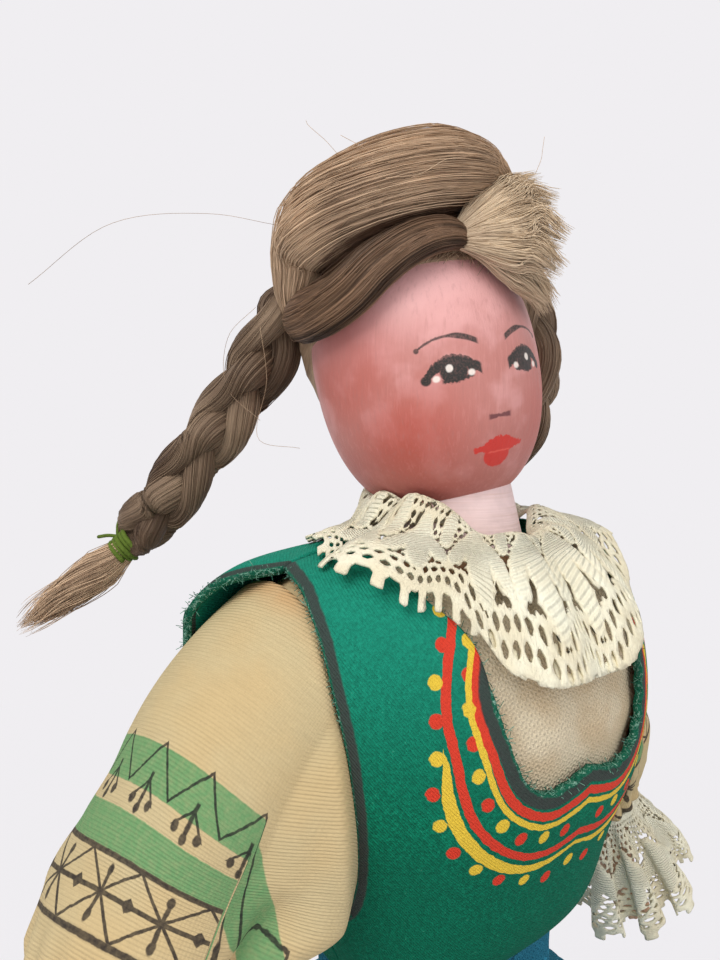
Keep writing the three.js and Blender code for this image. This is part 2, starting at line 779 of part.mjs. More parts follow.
// Where the lace meets the neck, round the leaning axis
function collarTop(angle) {
  const turn = radians(angle);
  const radius = NECK_DIAMETER / 2 + COLLAR_NECK_GAP;
  const rise = NECK_SINK + COLLAR_STAND;
  return new THREE.Vector3(radius * Math.sin(turn), -radius * Math.cos(turn), rise)
    .add(new THREE.Vector3(NECK_LEAN_SIDE * rise, NECK_LEAN_BACK * rise, 0))
    .add(neckFrame.position);
}

// Share of the edge curve at which it passes an angle
function collarShare(angle) {
  let low = 0;
  let high = 1;
  while (high - low > MERGE_DISTANCE) {
    const middle = (low + high) / 2;
    if (collarEdge.getPoint(middle).x < angle) low = middle;
    else high = middle;
  }
  return low;
}
addPiece("collar_lace", collarRing(), "lace");

// Arms, each in a frame at its peg with +Z down the arm
const armDirection = (side) => new THREE.Vector3(side * ARM_OUT, ARM_BACK, -ARM_DOWN).normalize();
const shoulderFace = CHEST_HALF_WIDTH + blouseLayer.outer + CLOTH_CLEARANCE;

function insideOfShoulder(side) {
  const room = 8 * SLEEVE_RADIUS;
  const peg = shoulderPlace(side);
  const box = new THREE.BoxGeometry(room, room, room);
  return box.translate(side * (shoulderFace - room / 2), peg.y, peg.z);
}

function armStick() {
  const ball = [];
  for (let i = 0; i <= 6; i++) {
    const turn = (Math.PI * i) / 8;
    ball.push([i === 0 ? 0 : ARM_HEAD_RADIUS * Math.sin(turn), -ARM_HEAD_RADIUS * Math.cos(turn)]);
  }
  const stick = ARM_DIAMETER / 2;
  return turned([
    ...ball,
    [stick, ARM_HEAD_RADIUS],
    [stick, SLEEVE_LENGTH + 2 * CLEARANCE + CUFF_HEAD],
    [WRIST_DIAMETER / 2, ARM_LENGTH],
    [0, ARM_LENGTH],
  ], 16);
}

// Sleeve: a hollow dome round the peg, a puffed tube and a tight gather on the arm
const gatherInner = ARM_DIAMETER / 2 + CLEARANCE;
function sleeve() {
  const outer = [];
  const domeRows = 5;
  for (let i = 0; i < domeRows; i++) {
    const turn = (Math.PI / 2) * (i / domeRows);
    outer.push([i === 0 ? 0 : Math.sin(turn), -Math.cos(turn)]);
  }
  const dome = (radius) => outer.map(([r, z]) => [r * radius, z * radius]);
  const puff = (wall) => [
    [SLEEVE_RADIUS - wall, 0],
    [SLEEVE_RADIUS + SLEEVE_FULLNESS - wall, 0.22 * SLEEVE_LENGTH],
    [SLEEVE_RADIUS + SLEEVE_FULLNESS - wall, 0.45 * SLEEVE_LENGTH],
    [SLEEVE_RADIUS - wall, 0.62 * SLEEVE_LENGTH],
    [mix(SLEEVE_GATHER_RADIUS, SLEEVE_RADIUS, 0.62) - wall, 0.78 * SLEEVE_LENGTH],
  ];
  return turned([
    ...dome(SLEEVE_RADIUS),
    ...puff(0),
    [SLEEVE_GATHER_RADIUS, 0.95 * SLEEVE_LENGTH],
    [SLEEVE_GATHER_RADIUS, SLEEVE_LENGTH],
    [gatherInner, SLEEVE_LENGTH],
    [gatherInner, 0.93 * SLEEVE_LENGTH],
    ...puff(SLEEVE_WALL).reverse(),
    ...dome(SLEEVE_RADIUS - SLEEVE_WALL).reverse(),
  ], 18);
}

// Cuff: a flared ring of lace that is gathered on the arm below the sleeve
function cuff() {
  const start = SLEEVE_LENGTH + CLEARANCE;
  const end = start + CUFF_LENGTH;
  const headRadius = gatherInner + LACE_THICKNESS;
  const flare = (share) => mix(headRadius, CUFF_RADIUS, share);
  return turned([
    [gatherInner, start],
    [headRadius, start],
    [headRadius, start + CUFF_HEAD],
    [flare(0.42), mix(start + CUFF_HEAD, end, 0.42)],
    [flare(0.8), mix(start + CUFF_HEAD, end, 0.72)],
    [CUFF_RADIUS, end],
    [CUFF_RADIUS - LACE_THICKNESS, end],
    [flare(0.8) - LACE_THICKNESS, mix(start + CUFF_HEAD, end, 0.72)],
    [flare(0.42) - LACE_THICKNESS, mix(start + CUFF_HEAD, end, 0.42)],
    [gatherInner, start + CUFF_HEAD],
    [gatherInner, start],
  ], 20);
}

// Hand: an oval palm that narrows to the fingers, with a thumb
function hand() {
  const start = ARM_LENGTH + CLEARANCE;
  const wrist = WRIST_DIAMETER / 2;
  const stations = [
    { along: 0, wide: wrist, thick: wrist },
    { along: 0.15, wide: wrist, thick: mix(wrist, PALM_HALF_THICKNESS, 0.6) },
    { along: 0.4, wide: PALM_HALF_WIDTH, thick: PALM_HALF_THICKNESS },
    { along: 0.7, wide: 0.9 * PALM_HALF_WIDTH, thick: 0.8 * PALM_HALF_THICKNESS },
    { along: 0.93, wide: 0.7 * PALM_HALF_WIDTH, thick: 0.6 * PALM_HALF_THICKNESS },
    { along: 1, wide: 0.4 * PALM_HALF_WIDTH, thick: 0.4 * PALM_HALF_THICKNESS },
  ];
  const sides = 12;
  const sections = stations.map(({ along, wide, thick }) => {
    const section = [];
    for (let j = 0; j < sides; j++) {
      const turn = (j / sides) * 2 * Math.PI;
      section.push(
        new THREE.Vector3(thick * Math.cos(turn), wide * Math.sin(turn), start + along * HAND_LENGTH),
      );
    }
    return section;
  });
  const palm = new LoftGeometry(sections, { capStart: true, capEnd: true });
  const thumb = new THREE.CapsuleGeometry(0.55 * PALM_HALF_THICKNESS, 0.32 * HAND_LENGTH, 3, 8);
  thumb.rotateX(Math.PI / 2 + radians(24));
  thumb.translate(0, -0.95 * PALM_HALF_WIDTH, start + 0.42 * HAND_LENGTH);
  return join(palm, thumb);
}

for (const [name, side] of [["right", -1], ["left", 1]]) {
  const armFrame = new THREE.Group();
  armFrame.position.copy(shoulderPlace(side));
  armFrame.quaternion.setFromUnitVectors(new THREE.Vector3(0, 0, 1), armDirection(side));
  doll.add(armFrame);
  const face = inFrameOf(armFrame, insideOfShoulder(side));
  const bore = inFrameOf(armFrame, pegRoom(side));
  addPiece(`${name}_arm`, cut(armStick(), face, bore), "bareWood", armFrame);
  addPiece(`${name}_hand`, hand(), "bareWood", armFrame);
  addPiece(`${name}_sleeve`, cut(sleeve(), face), "linen", armFrame);
  addPiece(`${name}_cuff_lace`, cuff(), "lace", armFrame);
  const shank = PEG_DIAMETER / 2;
  const pegHead = pegOuter + PEG_HEAD_THICKNESS;
  const peg = turned([
    [0, pegInner],
    [shank, pegInner],
    [shank, pegOuter],
    [PEG_HEAD_RADIUS, pegOuter],
    [PEG_HEAD_RADIUS, pegHead],
    [0, pegHead],
  ], PEG_STEPS);
  addPiece(`${name}_shoulder_peg`, alongX(peg, side), "bareWood");
}

// Waistband: a band round the waist whose top follows the vest's hem
const bandLow = runAt(0) + WAISTBAND_DROP;
function waistband() {
  const around = 24;
  const sections = [];
  for (let i = 0; i <= around; i++) {
    const angle = (i / around) * 2 * HALF_TURN;
    const offFront = Math.min(angle, 2 * HALF_TURN - angle);
    const ahead = Math.max(0, 1 - offFront / FRONT_SEAM);
    const hem = mix(runAt(HEM_SIDE), runAt(HEM_FRONT), ahead) - CLOTH_CLEARANCE;
    const runs = [0, 0.6, 1].map((share) => mix(bandLow, hem, share));
    const inner = runs.map((run) => bodyPoint(angle, run, blockOffset));
    const outer = runs.map((run) => bodyPoint(angle, run, 0));
    sections.push([...inner, ...outer.reverse()]);
  }
  return new LoftGeometry(sections);
}
addPiece("skirt_waistband", cut(waistband(), torsoBlock(CLEARANCE)), "skirtCloth");

// Skirt: gores under the waistband that flare out in folds
const bandLowHeight = outlinePoint(0, bandLow).z;
function skirtPoint(angle, share, inset) {
  const waist = outlinePoint(angle, bandLow);
  const waistRadius = Math.hypot(waist.x, waist.y);
  const fold = SKIRT_FOLD_DEPTH * share * Math.cos(radians(SKIRT_FOLDS * angle));
  const radius = mix(waistRadius, SKIRT_HEM_RADIUS, share ** SKIRT_FLARE) + fold - inset;
  const turn = radians(angle);
  const height = bandLowHeight - CLEARANCE - share * SKIRT_LENGTH;
  return new THREE.Vector3(radius * Math.sin(turn), -radius * Math.cos(turn), height);
}

function skirtGore(index) {
  const rows = [1, 0.75, 0.5, 0.3, 0.16, 0.07, 0];
  const columns = 6;
  const span = 360 / SKIRT_GORES;
  const middle = index * span;
  const sections = rows.map((share) => {
    const waist = skirtPoint(middle, share, 0);
    const seam = THREE.MathUtils.radToDeg(CLEARANCE / Math.hypot(waist.x, waist.y));
    const outerRow = [];
    const innerRow = [];
    for (let j = 0; j <= columns; j++) {
      const angle = middle + mix(-span / 2 + seam / 2, span / 2 - seam / 2, j / columns);
      outerRow.push(skirtPoint(angle, share, 0));
      innerRow.push(skirtPoint(angle, share, SKIRT_THICKNESS));
    }
    return [...outerRow, ...innerRow.reverse()];
  });
  return new LoftGeometry(sections, { capStart: true, capEnd: true });
}
const goreNames = [
  "front",
  "front_left",
  "left",
  "back_left",
  "back",
  "back_right",
  "right",
  "front_right",
];
goreNames.forEach((name, index) => addPiece(`skirt_gore_${name}`, skirtGore(index), "skirtCloth"));

// Petticoat: one ring gathered on the hip block, clear of the skirt's folds
function petticoat() {
  const around = 24;
  const rows = [0, 0.08, 0.3, 0.65, 1];
  const hipTop = torsoFoot - PETTICOAT_DROP;
  const hem = SKIRT_HEM_RADIUS - PETTICOAT_INSET;
  const sections = [];
  for (let i = 0; i <= around; i++) {
    const turn = (i / around) * 2 * Math.PI;
    const across = Math.sin(turn) / HIP_HALF_WIDTH;
    const ahead = Math.cos(turn) / HIP_HALF_DEPTH;
    const hip = 1 / Math.hypot(across, ahead) + CLEARANCE;
    const pointAt = (share, grown) => {
      const radius = mix(hip, hem, share ** SKIRT_FLARE) + grown;
      const height = hipTop - share * PETTICOAT_LENGTH;
      return new THREE.Vector3(radius * Math.sin(turn), -radius * Math.cos(turn), height);
    };
    const inner = rows.map((share) => pointAt(share, 0));
    const outer = rows.map((share) => pointAt(share, PETTICOAT_THICKNESS));
    sections.push([...outer, ...inner.reverse()]);
  }
  return new LoftGeometry(sections);
}
addPiece("petticoat", petticoat(), "petticoatCloth");

export default doll;
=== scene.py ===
"""Looks of a folk costume doll, modelled round the fixed frame of its wooden parts.

Shapes are worked out in millimetres in the doll's own frame: +Z up, the face towards -Y, the doll's
left hand at +X. An angle about the body starts at the front and grows towards the doll's left.
"""

import json

import bpy
import numpy as np
from mathutils import Matrix, Vector


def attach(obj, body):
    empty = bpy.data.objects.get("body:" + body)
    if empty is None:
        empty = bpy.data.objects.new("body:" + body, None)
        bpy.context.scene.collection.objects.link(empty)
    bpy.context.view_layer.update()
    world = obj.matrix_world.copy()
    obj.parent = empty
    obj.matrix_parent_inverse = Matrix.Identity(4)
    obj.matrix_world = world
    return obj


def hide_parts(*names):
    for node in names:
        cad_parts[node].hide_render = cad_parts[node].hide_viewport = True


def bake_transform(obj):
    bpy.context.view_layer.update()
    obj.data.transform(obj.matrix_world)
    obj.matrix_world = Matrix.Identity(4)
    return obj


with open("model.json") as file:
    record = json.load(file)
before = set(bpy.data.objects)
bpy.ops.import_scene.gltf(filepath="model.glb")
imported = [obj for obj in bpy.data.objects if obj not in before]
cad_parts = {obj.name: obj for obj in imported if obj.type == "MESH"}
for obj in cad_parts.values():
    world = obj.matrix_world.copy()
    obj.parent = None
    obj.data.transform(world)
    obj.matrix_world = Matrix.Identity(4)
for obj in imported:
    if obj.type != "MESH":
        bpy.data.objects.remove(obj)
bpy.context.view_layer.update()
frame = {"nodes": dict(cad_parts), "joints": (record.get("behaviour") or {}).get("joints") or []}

bl_info = {
    "name": "Folk Costume Doll",
    "version": (1, 0, 0),
    "blender": (4, 5, 0),
    "location": "3D View > Sidebar > Doll",
    "description": "Dresses a wooden doll's frame in wool hair, felt, linen, lace and cotton",
    "category": "Add Mesh",
}

MM = 0.001
JOINTS = {joint["name"]: joint for joint in frame["joints"]}
SIDES = (("right", -1), ("left", 1))

# Dressed torso, as the frame has it: share of the height, half width, front and back
TORSO_FOOT = 149
TORSO_HEIGHT = 93
BODY_SQUARENESS = 2.5
BODY_STATIONS = np.array([
    (0.000, 24.0, 17.0, 20.0),
    (0.172, 24.0, 17.0, 20.0),
    (0.280, 28.0, 24.0, 21.0),
    (0.419, 31.0, 28.0, 22.0),
    (0.548, 35.0, 32.0, 23.0),
    (0.677, 37.5, 33.0, 23.0),
    (0.806, 39.0, 30.1, 22.1),
    (0.892, 37.9, 26.0, 19.4),
    (0.946, 33.9, 21.9, 15.2),
    (0.978, 26.0, 20.0, 12.2),
    (1.000, 17.0, 19.0, 11.0),
])

# Edges of the vest and blouse: angle in degrees and share of the torso's height
FRONT_SEAM = 89.5
BACK_SEAM = 90.5
HEM_FRONT = 0.237
HEM_SIDE = 0.178
FRONT_ARMHOLE = [(89.5, 0.312), (72, 0.39), (65.5, 0.52), (65, 0.66), (67.5, 0.77), (71.5, 0.86),
                 (78, 0.92), (89.5, 0.952)]
BACK_ARMHOLE = [(90.5, 0.312), (103, 0.39), (111, 0.54), (113, 0.68), (111, 0.81), (104, 0.9),
                (90.5, 0.952)]
SWEETHEART = [(0, 0.618), (9, 0.602), (17, 0.598), (25, 0.63), (30, 0.7), (34, 0.78), (38, 0.85),
              (52, 0.925), (89.5, 1)]
TRIM_GUIDE = SWEETHEART[:6] + [(32, 0.85), (28.5, 0.925), (25, 1)]
BACK_NECKLINE = [(180, 0.86), (128, 0.95), (90.5, 1)]
BLOUSE_BACK_NECKLINE = [(180, 0.955), (128, 0.975), (90.5, 1)]
BLOUSE_NECKLINE = [(0, 0.935), (36, 0.955), (89.5, 1)]
COLLAR_EDGE = [(-181, 0.9), (-145, 0.93), (-112, 0.968), (-92, 0.968), (-80, 0.948), (-70, 0.924),
               (-60, 0.907), (-50, 0.888), (-42, 0.857), (-22, 0.775), (0, 0.762), (22, 0.775),
               (42, 0.86), (58, 0.94), (75, 0.968), (90, 0.98), (112, 0.968), (145, 0.93), (181, 0.9)]
COLLAR_WIDTH = 24
COLLAR_FOLD = 0.87
COLLAR_SCALLOPS = 16
BLOUSE_DEPTH = 2.2
FRAY_COUNT = 440
FRAY_PLACES = 400
GUSSET_THICKNESS = 0.5

# Ways of the cloth: the vest's flare, the sleeve's pouch, and out from and ahead of a front corner
FLARE_WAY = np.array([1, 0, 0.12])
POUCH_WAY = np.array([-0.66, -0.75, 0])
CORNER_OUT = np.array([-0.766, -0.643, 0])
CORNER_AHEAD = np.array([0.643, -0.766, 0])
UNDER_FELT = 0.945

# Head and neck about their leaning axis
NECK_PLACE = np.array(JOINTS["head_turn"]["pos_m"]) / MM
NECK_AXIS = np.array(JOINTS["head_turn"]["axis"]) / np.linalg.norm(JOINTS["head_turn"]["axis"])
NECK_RADIUS = 10.5
NECK_LENGTH = 11.2
HEAD_RISE = 33.1
HEAD_YAW = -8
HEAD_RADIUS = 20
CHIN_DROP = 27
JAW_FULLNESS = 2.4
CROWN_RISE = 27
HAIRLINE = np.array([
    (-180, -0.74), (-160, -0.7), (-142, -0.4), (-128, 0.05), (-116, 0.24), (-90, 0.26), (-60, 0.42),
    (-30, 0.5), (10, 0.48), (30, 0.3), (58, 0.13), (90, -0.1), (120, -0.4), (150, -0.66), (180, -0.74),
])

# Locks and braids; a braid's route starts at an angle, rise and reach on the head
LOCK_COLUMNS = 72
LOCK_PLACES = 56
TUFT_PLACES = 30
TAIL_PLACES = 34
RIDGE_BEATS = (7, 11, 16, 23, 31)
STRAY_RADIUS = 0.045
STRAY_PLACES = 24
WISPS = 170
BRAID_ROUTES = {
    "right": ((-131, 0.56, 1.26), [(-6.5, 4, -11), (-18, 11.5, -24), (-33, 21.4, -39),
                                   (-53, 32.8, -50)]),
    "left": ((86, 0.5, 1.2), [(3.4, -1, -6), (4.2, 0.6, -23.5), (2, 9.5, -33), (2, 28.4, -37),
                              (7.6, 47.2, -45.5), (13.6, 61, -58.5)]),
}
BRAID_PLACES = 200
BRAID_BEND = 30
PLAIT_SHARE = 0.7
PLAIT_BEAT = 42
TIE_WINDINGS = 4.4
TIE_PLACES = 120

# Arms, from the shoulder's hinge down, and legs
ARM_WAY = np.array([26, 6, -50]) / np.linalg.norm([26, 6, -50])
SLEEVE_LENGTH = 58
SLEEVE_RADIUS = 16
WRIST_RADIUS = 9.0
SLEEVE_ROOT = 36.6
SLEEVE_RING = 16.8
CUFF_START = 58.4
CUFF_WIDTH = 30
CUFF_SCALLOPS = 10
ARM_LENGTH = 88
HAND_LENGTH = 19
LEG_PROFILE = [(5, 25), (6, 26), (6, 132), (5, 133)]
LEG_APART = 14

# Leaves of one scallop of lace: place across, share of the width, lean, half length and half width
LACE_LEAVES = ((0, 0.5, 0, 6.4, 2.6), (3.7, 0.5, 30, 4.6, 1.5), (-3.7, 0.5, -30, 4.6, 1.5),
               (6.5, 0.3, 0, 3.4, 1.5), (-6.5, 0.3, 0, 3.4, 1.5))
LACE_CELL = 0.42

# Skirt and petticoat
WAIST_RUN = 3.0
CLOTH_ROWS = 52
SKIRT_TOP = 151.6
SKIRT_LENGTH = 110
SKIRT_HEM = 80
SKIRT_FOLDS = 16
SKIRT_COLUMNS = 480
PETTICOAT_TOP = 137
PETTICOAT_LENGTH = 91
PETTICOAT_HEM = 68
PETTICOAT_FOLDS = 14
PETTICOAT_COLUMNS = 280
PETTICOAT_THICKNESS = 0.6
HIP_HALF_WIDTH = 22.9
HIP_HALF_DEPTH = 15.4

# Stage: the floor's radius and the lamps are in metres, the floor's glow and the camera in millimetres;
# each lamp has a name, place, size, power and tint
FLOOR_RADIUS = 6.0
FLOOR_GLOW = 0.85
GLOW_EDGE = 420
GLOW_SOFT = 500
SKY_TINT = (0.96, 0.97, 1.0, 1)
SKY_STRENGTH = 0.5
CAMERA_TURN = -40
CAMERA_RISE = 4
CAMERA_PLACE = (-106.83, -103.12, 260.32)
CAMERA_LENS = 30
CAMERA_SENSOR = 36
LAMP_TARGET = (0, 0, 0.22)
LAMPS = (
    ("window", (-0.7, -0.25, 1.0), 0.8, 9.0, (1.0, 0.98, 0.95)),
    ("front", (0.0, -1.1, 0.75), 0.9, 4.2, (1.0, 0.98, 0.97)),
    ("back", (0.6, 0.9, 0.9), 0.8, 3.5, (1.0, 1.0, 1.0)),
)


def linear(red, green, blue):
    """Display values from 0 to 255 as linear colour."""
    value = np.array([red, green, blue]) / 255
    return tuple(np.where(value <= 0.04045, value / 12.92, ((value + 0.055) / 1.055) ** 2.4))


def display(red, green, blue):
    """Display values from 0 to 255 as a shader takes a colour."""
    return (*linear(red, green, blue), 1.0)


def colour_of(name, description, red, green, blue):
    """A colour property whose default is given in display values."""
    return bpy.props.FloatVectorProperty(
        name=name, description=description, subtype="COLOR", size=3, min=0, max=1,
        default=linear(red, green, blue),
    )


def length_of(name, description, millimetres):
    """A length property whose default is given in millimetres."""
    return bpy.props.FloatProperty(
        name=name, description=description, default=millimetres * MM, min=0, unit="LENGTH",
        precision=5,
    )


class DollColours(bpy.types.PropertyGroup):
    """Colours of the doll's paint, wool and cloth"""

    skin: colour_of("Skin", "Paint of the head", 186, 122, 114)
    brow: colour_of("Forehead", "Paler paint above the eyes", 228, 174, 172)
    blush: colour_of("Blush", "Red rubbed on the cheeks", 178, 76, 60)
    mark: colour_of("Face marks", "Eyes and brows", 26, 32, 29)
    lips: colour_of("Lips", "Painted mouth", 196, 44, 34)
    neck: colour_of("Neck", "Pale paint of the neck", 232, 206, 204)
    wood: colour_of("Bare wood", "Arms, legs and blocks", 190, 148, 112)
    boot: colour_of("Boots", "Paint of the boots", 44, 34, 34)
    hair_dark: colour_of("Hair, dark", "Shaded wool", 86, 59, 41)
    hair_pale: colour_of("Hair, pale", "Bleached wool", 228, 196, 162)
    # Painted shade: the hank's colours are the hair's made darker, for where it lies under the crown
    # roll.
    hank_dark: colour_of("Hank, dark", "Shaded wool over the brow", 52, 37, 26)
    hank_pale: colour_of("Hank, pale", "Lit wool over the brow", 158, 124, 96)
    hair_light: colour_of("Hair, cut end", "Pale end of the knot", 238, 216, 184)
    thread: colour_of("Tie", "Thread round the braids", 92, 112, 44)
    felt: colour_of("Vest", "Wool felt of the vest", 7, 117, 88)
    edging: colour_of("Edging", "Dark paint along the vest's edges", 60, 58, 58)
    trim_red: colour_of("Trim, red", "Painted lines and dots", 214, 58, 40)
    trim_yellow: colour_of("Trim, yellow", "Painted lines and dots", 228, 192, 62)
    linen: colour_of("Sleeves", "Linen of the sleeves", 200, 182, 141)
    bib: colour_of("Bib", "Linen of the blouse", 219, 205, 177)
    print_green: colour_of("Print, green", "Bands printed on the sleeves", 104, 150, 100)
    print_dark: colour_of("Print, dark", "Lines printed on the sleeves", 44, 40, 42)
    lace: colour_of("Lace", "Cotton lace", 252, 243, 218)
    skirt: colour_of("Skirt", "Cotton of the skirt", 44, 116, 140)
    petticoat: colour_of("Petticoat", "Cotton of the petticoat", 234, 228, 212)
    floor: colour_of("Floor", "Floor and backdrop", 240, 238, 241)


class DollSizes(bpy.types.PropertyGroup):
    """Sizes of cloth and wool that the frame leaves open"""

    felt_thickness: length_of("Felt thickness", "Thickness of the vest", 1.4)
    linen_thickness: length_of("Linen thickness", "Thickness of blouse and sleeves", 0.7)
    lace_thickness: length_of("Lace thickness", "Thickness of the lace's threads", 0.5)
    lace_scallop: length_of("Lace scallop", "Width of one scallop of the lace", 13)
    hair_thickness: length_of("Hair thickness", "Radius of a single hair", 0.085)
    lock_radius: length_of("Lock radius", "Radius of one lock of a braid", 3.1)
    skirt_thickness: length_of("Skirt thickness", "Thickness of the skirt's cotton", 0.8)


def sizes(name):
    """A size of the doll in millimetres."""
    return getattr(bpy.context.scene.doll_sizes, name) / MM


def paint(name):
    """A colour of the doll as a shader takes it."""
    return (*getattr(bpy.context.scene.doll_colours, name), 1.0)


# Numbers and curves
def unit(vectors):
    """Vectors made one long."""
    return vectors / np.maximum(np.linalg.norm(vectors, axis=-1, keepdims=True), 1e-9)


def smooth(low, high, value):
    """0 below low, 1 above high and an even S between them."""
    share = np.clip((value - low) / (high - low), 0.0, 1.0)
    return share * share * (3.0 - 2.0 * share)


def mix(first, second, share):
    """The first at a share of 0, the second at 1."""
    return first * (1 - share) + second * share


def cubic(knots, values, at):
    """Values along cubic stretches through the knots, with the mean of both sides' slopes at each."""
    slopes = np.diff(values, axis=0) / np.diff(knots)[:, None]
    tangents = np.concatenate([slopes[:1], (slopes[:-1] + slopes[1:]) / 2, slopes[-1:]])
    i = np.clip(np.searchsorted(knots, at) - 1, 0, len(knots) - 2)
    width = (knots[i + 1] - knots[i])[..., None]
    t = (at - knots[i])[..., None] / width
    ahead = t * t * (3 - 2 * t)
    bend = t * (1 - t) * ((1 - t) * tangents[i] - t * tangents[i + 1]) * width
    return values[i] * (1 - ahead) + values[i + 1] * ahead + bend


def route(points, count):
    """Evenly run places on a smooth curve through points."""
    points = np.asarray(points, float)
    steps = np.linalg.norm(np.diff(points, axis=0), axis=1)
    knots = np.concatenate([[0], np.cumsum(steps)])
    return cubic(knots, points, np.linspace(0, knots[-1], count))


def run_of(line):
    """Distance run along a line of points."""
    return np.concatenate([[0], np.cumsum(np.linalg.norm(np.diff(line, axis=0), axis=1))])


def nearest(points, line):
    """Gap from each point to the nearest place on a line, and how far along the line that is."""
    flat = points.reshape(-1, 3)
    runs = run_of(line)
    start, way = line[:-1], np.diff(line, axis=0)
    share = ((flat[:, None] - start) * way).sum(-1) / (way * way).sum(-1)
    share = np.clip(share, 0, 1)
    gaps = np.linalg.norm(start + share[..., None] * way - flat[:, None], axis=-1)
    best = gaps.argmin(1)
    rows = np.arange(len(flat))
    along = runs[best] + share[rows, best] * np.diff(runs)[best]
    shape = points.shape[:-1]
    return gaps[rows, best].reshape(shape), along.reshape(shape)


# Outline of the dressed torso
BODY = np.column_stack([BODY_STATIONS[:, 0] * TORSO_HEIGHT, BODY_STATIONS[:, 1:]])
RUNS = np.concatenate([[0], np.cumsum(np.hypot(np.diff(BODY[:, 0]), np.diff(BODY[:, 1])))])
FULL_RUN = RUNS[-1]


def outline(angle, run):
    """Point of the torso's outline: at each run up the side the section is a superellipse."""
    angle, run = np.broadcast_arrays(np.asarray(angle, float), np.asarray(run, float))
    height, half, front, back = np.moveaxis(cubic(RUNS, BODY, np.clip(run, 0, FULL_RUN)), -1, 0)
    across = np.sin(np.radians(angle))
    ahead = np.cos(np.radians(angle))
    depth = np.where(ahead > 0, front, back)
    total = (np.abs(across) / half) ** BODY_SQUARENESS + (np.abs(ahead) / depth) ** BODY_SQUARENESS
    radius = total ** (-1 / BODY_SQUARENESS)
    return np.stack([radius * across, -radius * ahead, TORSO_FOOT + height], -1)


def on_body(angle, run, offset):
    """The outline's point moved out along the surface's own direction."""
    step = 0.5
    across = outline(angle + step, run) - outline(angle - step, run)
    up = outline(angle, run + step) - outline(angle, run - step)
    return outline(angle, run) + unit(np.cross(across, up)) * np.asarray(offset)[..., None]


def run_at(share):
    """Run up the side at a share of the torso's height."""
    runs = np.linspace(0, FULL_RUN, 2000)
    return np.interp(np.asarray(share) * TORSO_HEIGHT, cubic(RUNS, BODY, runs)[:, 0], runs)


def edge_route(edge, count):
    """Even places, as angle and run, along an edge given by angles and shares of the height."""
    return route([(angle, run_at(share)) for angle, share in edge], count)


# Head frame
def turn_about_z(degrees):
    """Matrix of a turn about the upright axis."""
    turn = np.radians(degrees)
    return np.array([[np.cos(turn), -np.sin(turn), 0], [np.sin(turn), np.cos(turn), 0], [0, 0, 1]])


LEAN = np.array(Vector((0, 0, 1)).rotation_difference(Vector(NECK_AXIS)).to_matrix())
HEAD_TURN = LEAN @ turn_about_z(HEAD_YAW)
HEAD_CENTRE = NECK_PLACE + NECK_AXIS * HEAD_RISE


def from_head(points):
    """Points of the head's own frame in the doll's frame."""
    return HEAD_CENTRE + points @ HEAD_TURN.T


def head_point(angle, rise, reach):
    """Point off the head: an angle from the face, a rise from chin -1 to crown 1, a reach in heads."""
    angle, rise, reach = np.broadcast_arrays(*(np.asarray(v, float) for v in (angle, rise, reach)))
    level = np.sqrt(np.maximum(0, 1 - rise * rise)) * HEAD_RADIUS * reach
    turn = np.radians(angle)
    height = rise * np.where(rise < 0, CHIN_DROP, CROWN_RISE) * reach
    return np.stack([level * np.sin(turn), -level * np.cos(turn), height], -1)


def head_line(angles, rises, reaches, count):
    """Even places on a curve through points off the head, in the doll's frame."""
    return from_head(route(head_point(angles, rises, reaches), count))


def head_path(root, steps, count):
    """Even places on a curve from a point off the head through steps away from it."""
    start = head_point(*root)
    return from_head(route([start, *(start + np.array(step) for step in steps)], count))


# Meshes
def points_of(x, y, z):
    """Points from coordinates that are spread over each other's rows and columns."""
    return np.stack(np.broadcast_arrays(x, y, z), -1)


class Shape:
    """Points in millimetres, faces grouped by their corners, and numbers kept at each point."""

    def __init__(self, points, faces, **fields):
        self.points = np.asarray(points, float).reshape(-1, 3)
        self.faces = [np.asarray(group) for group in faces]
        count = len(self.points)
        self.fields = {}
        for name, values in fields.items():
            self.fields[name] = np.broadcast_to(np.asarray(values, float).ravel(), (count,))

    def mirrored(self):
        """The same shape across the doll's middle, with its faces still outwards."""
        faces = [group[:, ::-1] for group in self.faces]
        return Shape(self.points * [-1, 1, 1], faces, **self.fields)

    def welded(self):
        """The shape with points that share a place made one."""
        key = np.round(self.points, 4)
        _, first, back = np.unique(key, axis=0, return_index=True, return_inverse=True)
        back = back.ravel()
        fields = {name: values[first] for name, values in self.fields.items()}
        return Shape(self.points[first], [back[group] for group in self.faces], **fields)


def joined(*shapes):
    """Several shapes as one."""
    starts = np.cumsum([0] + [len(shape.points) for shape in shapes])
    faces = [group + start for shape, start in zip(shapes, starts) for group in shape.faces]
    names = set().union(*(shape.fields for shape in shapes))
    fields = {
        name: np.concatenate([s.fields.get(name, np.zeros(len(s.points))) for s in shapes])
        for name in names
    }
    return Shape(np.concatenate([shape.points for shape in shapes]), faces, **fields)


def cells(rows, columns, ring=False):
    """Corners of every cell of a grid of points; in a ring the last column meets the first."""
    across = columns if ring else columns - 1
    row, column = np.meshgrid(np.arange(rows - 1) * columns, np.arange(across), indexing="ij")
    beside = (column + 1) % columns
    corners = [row + column, row + beside, row + columns + beside, row + columns + column]
    return np.stack(corners, -1).reshape(-1, 4)


def sheet_of(grid, ring=False, **fields):
    """A single layer over a grid of points."""
    rows, columns = grid.shape[:2]
    return Shape(grid, [cells(rows, columns, ring)], **fields)


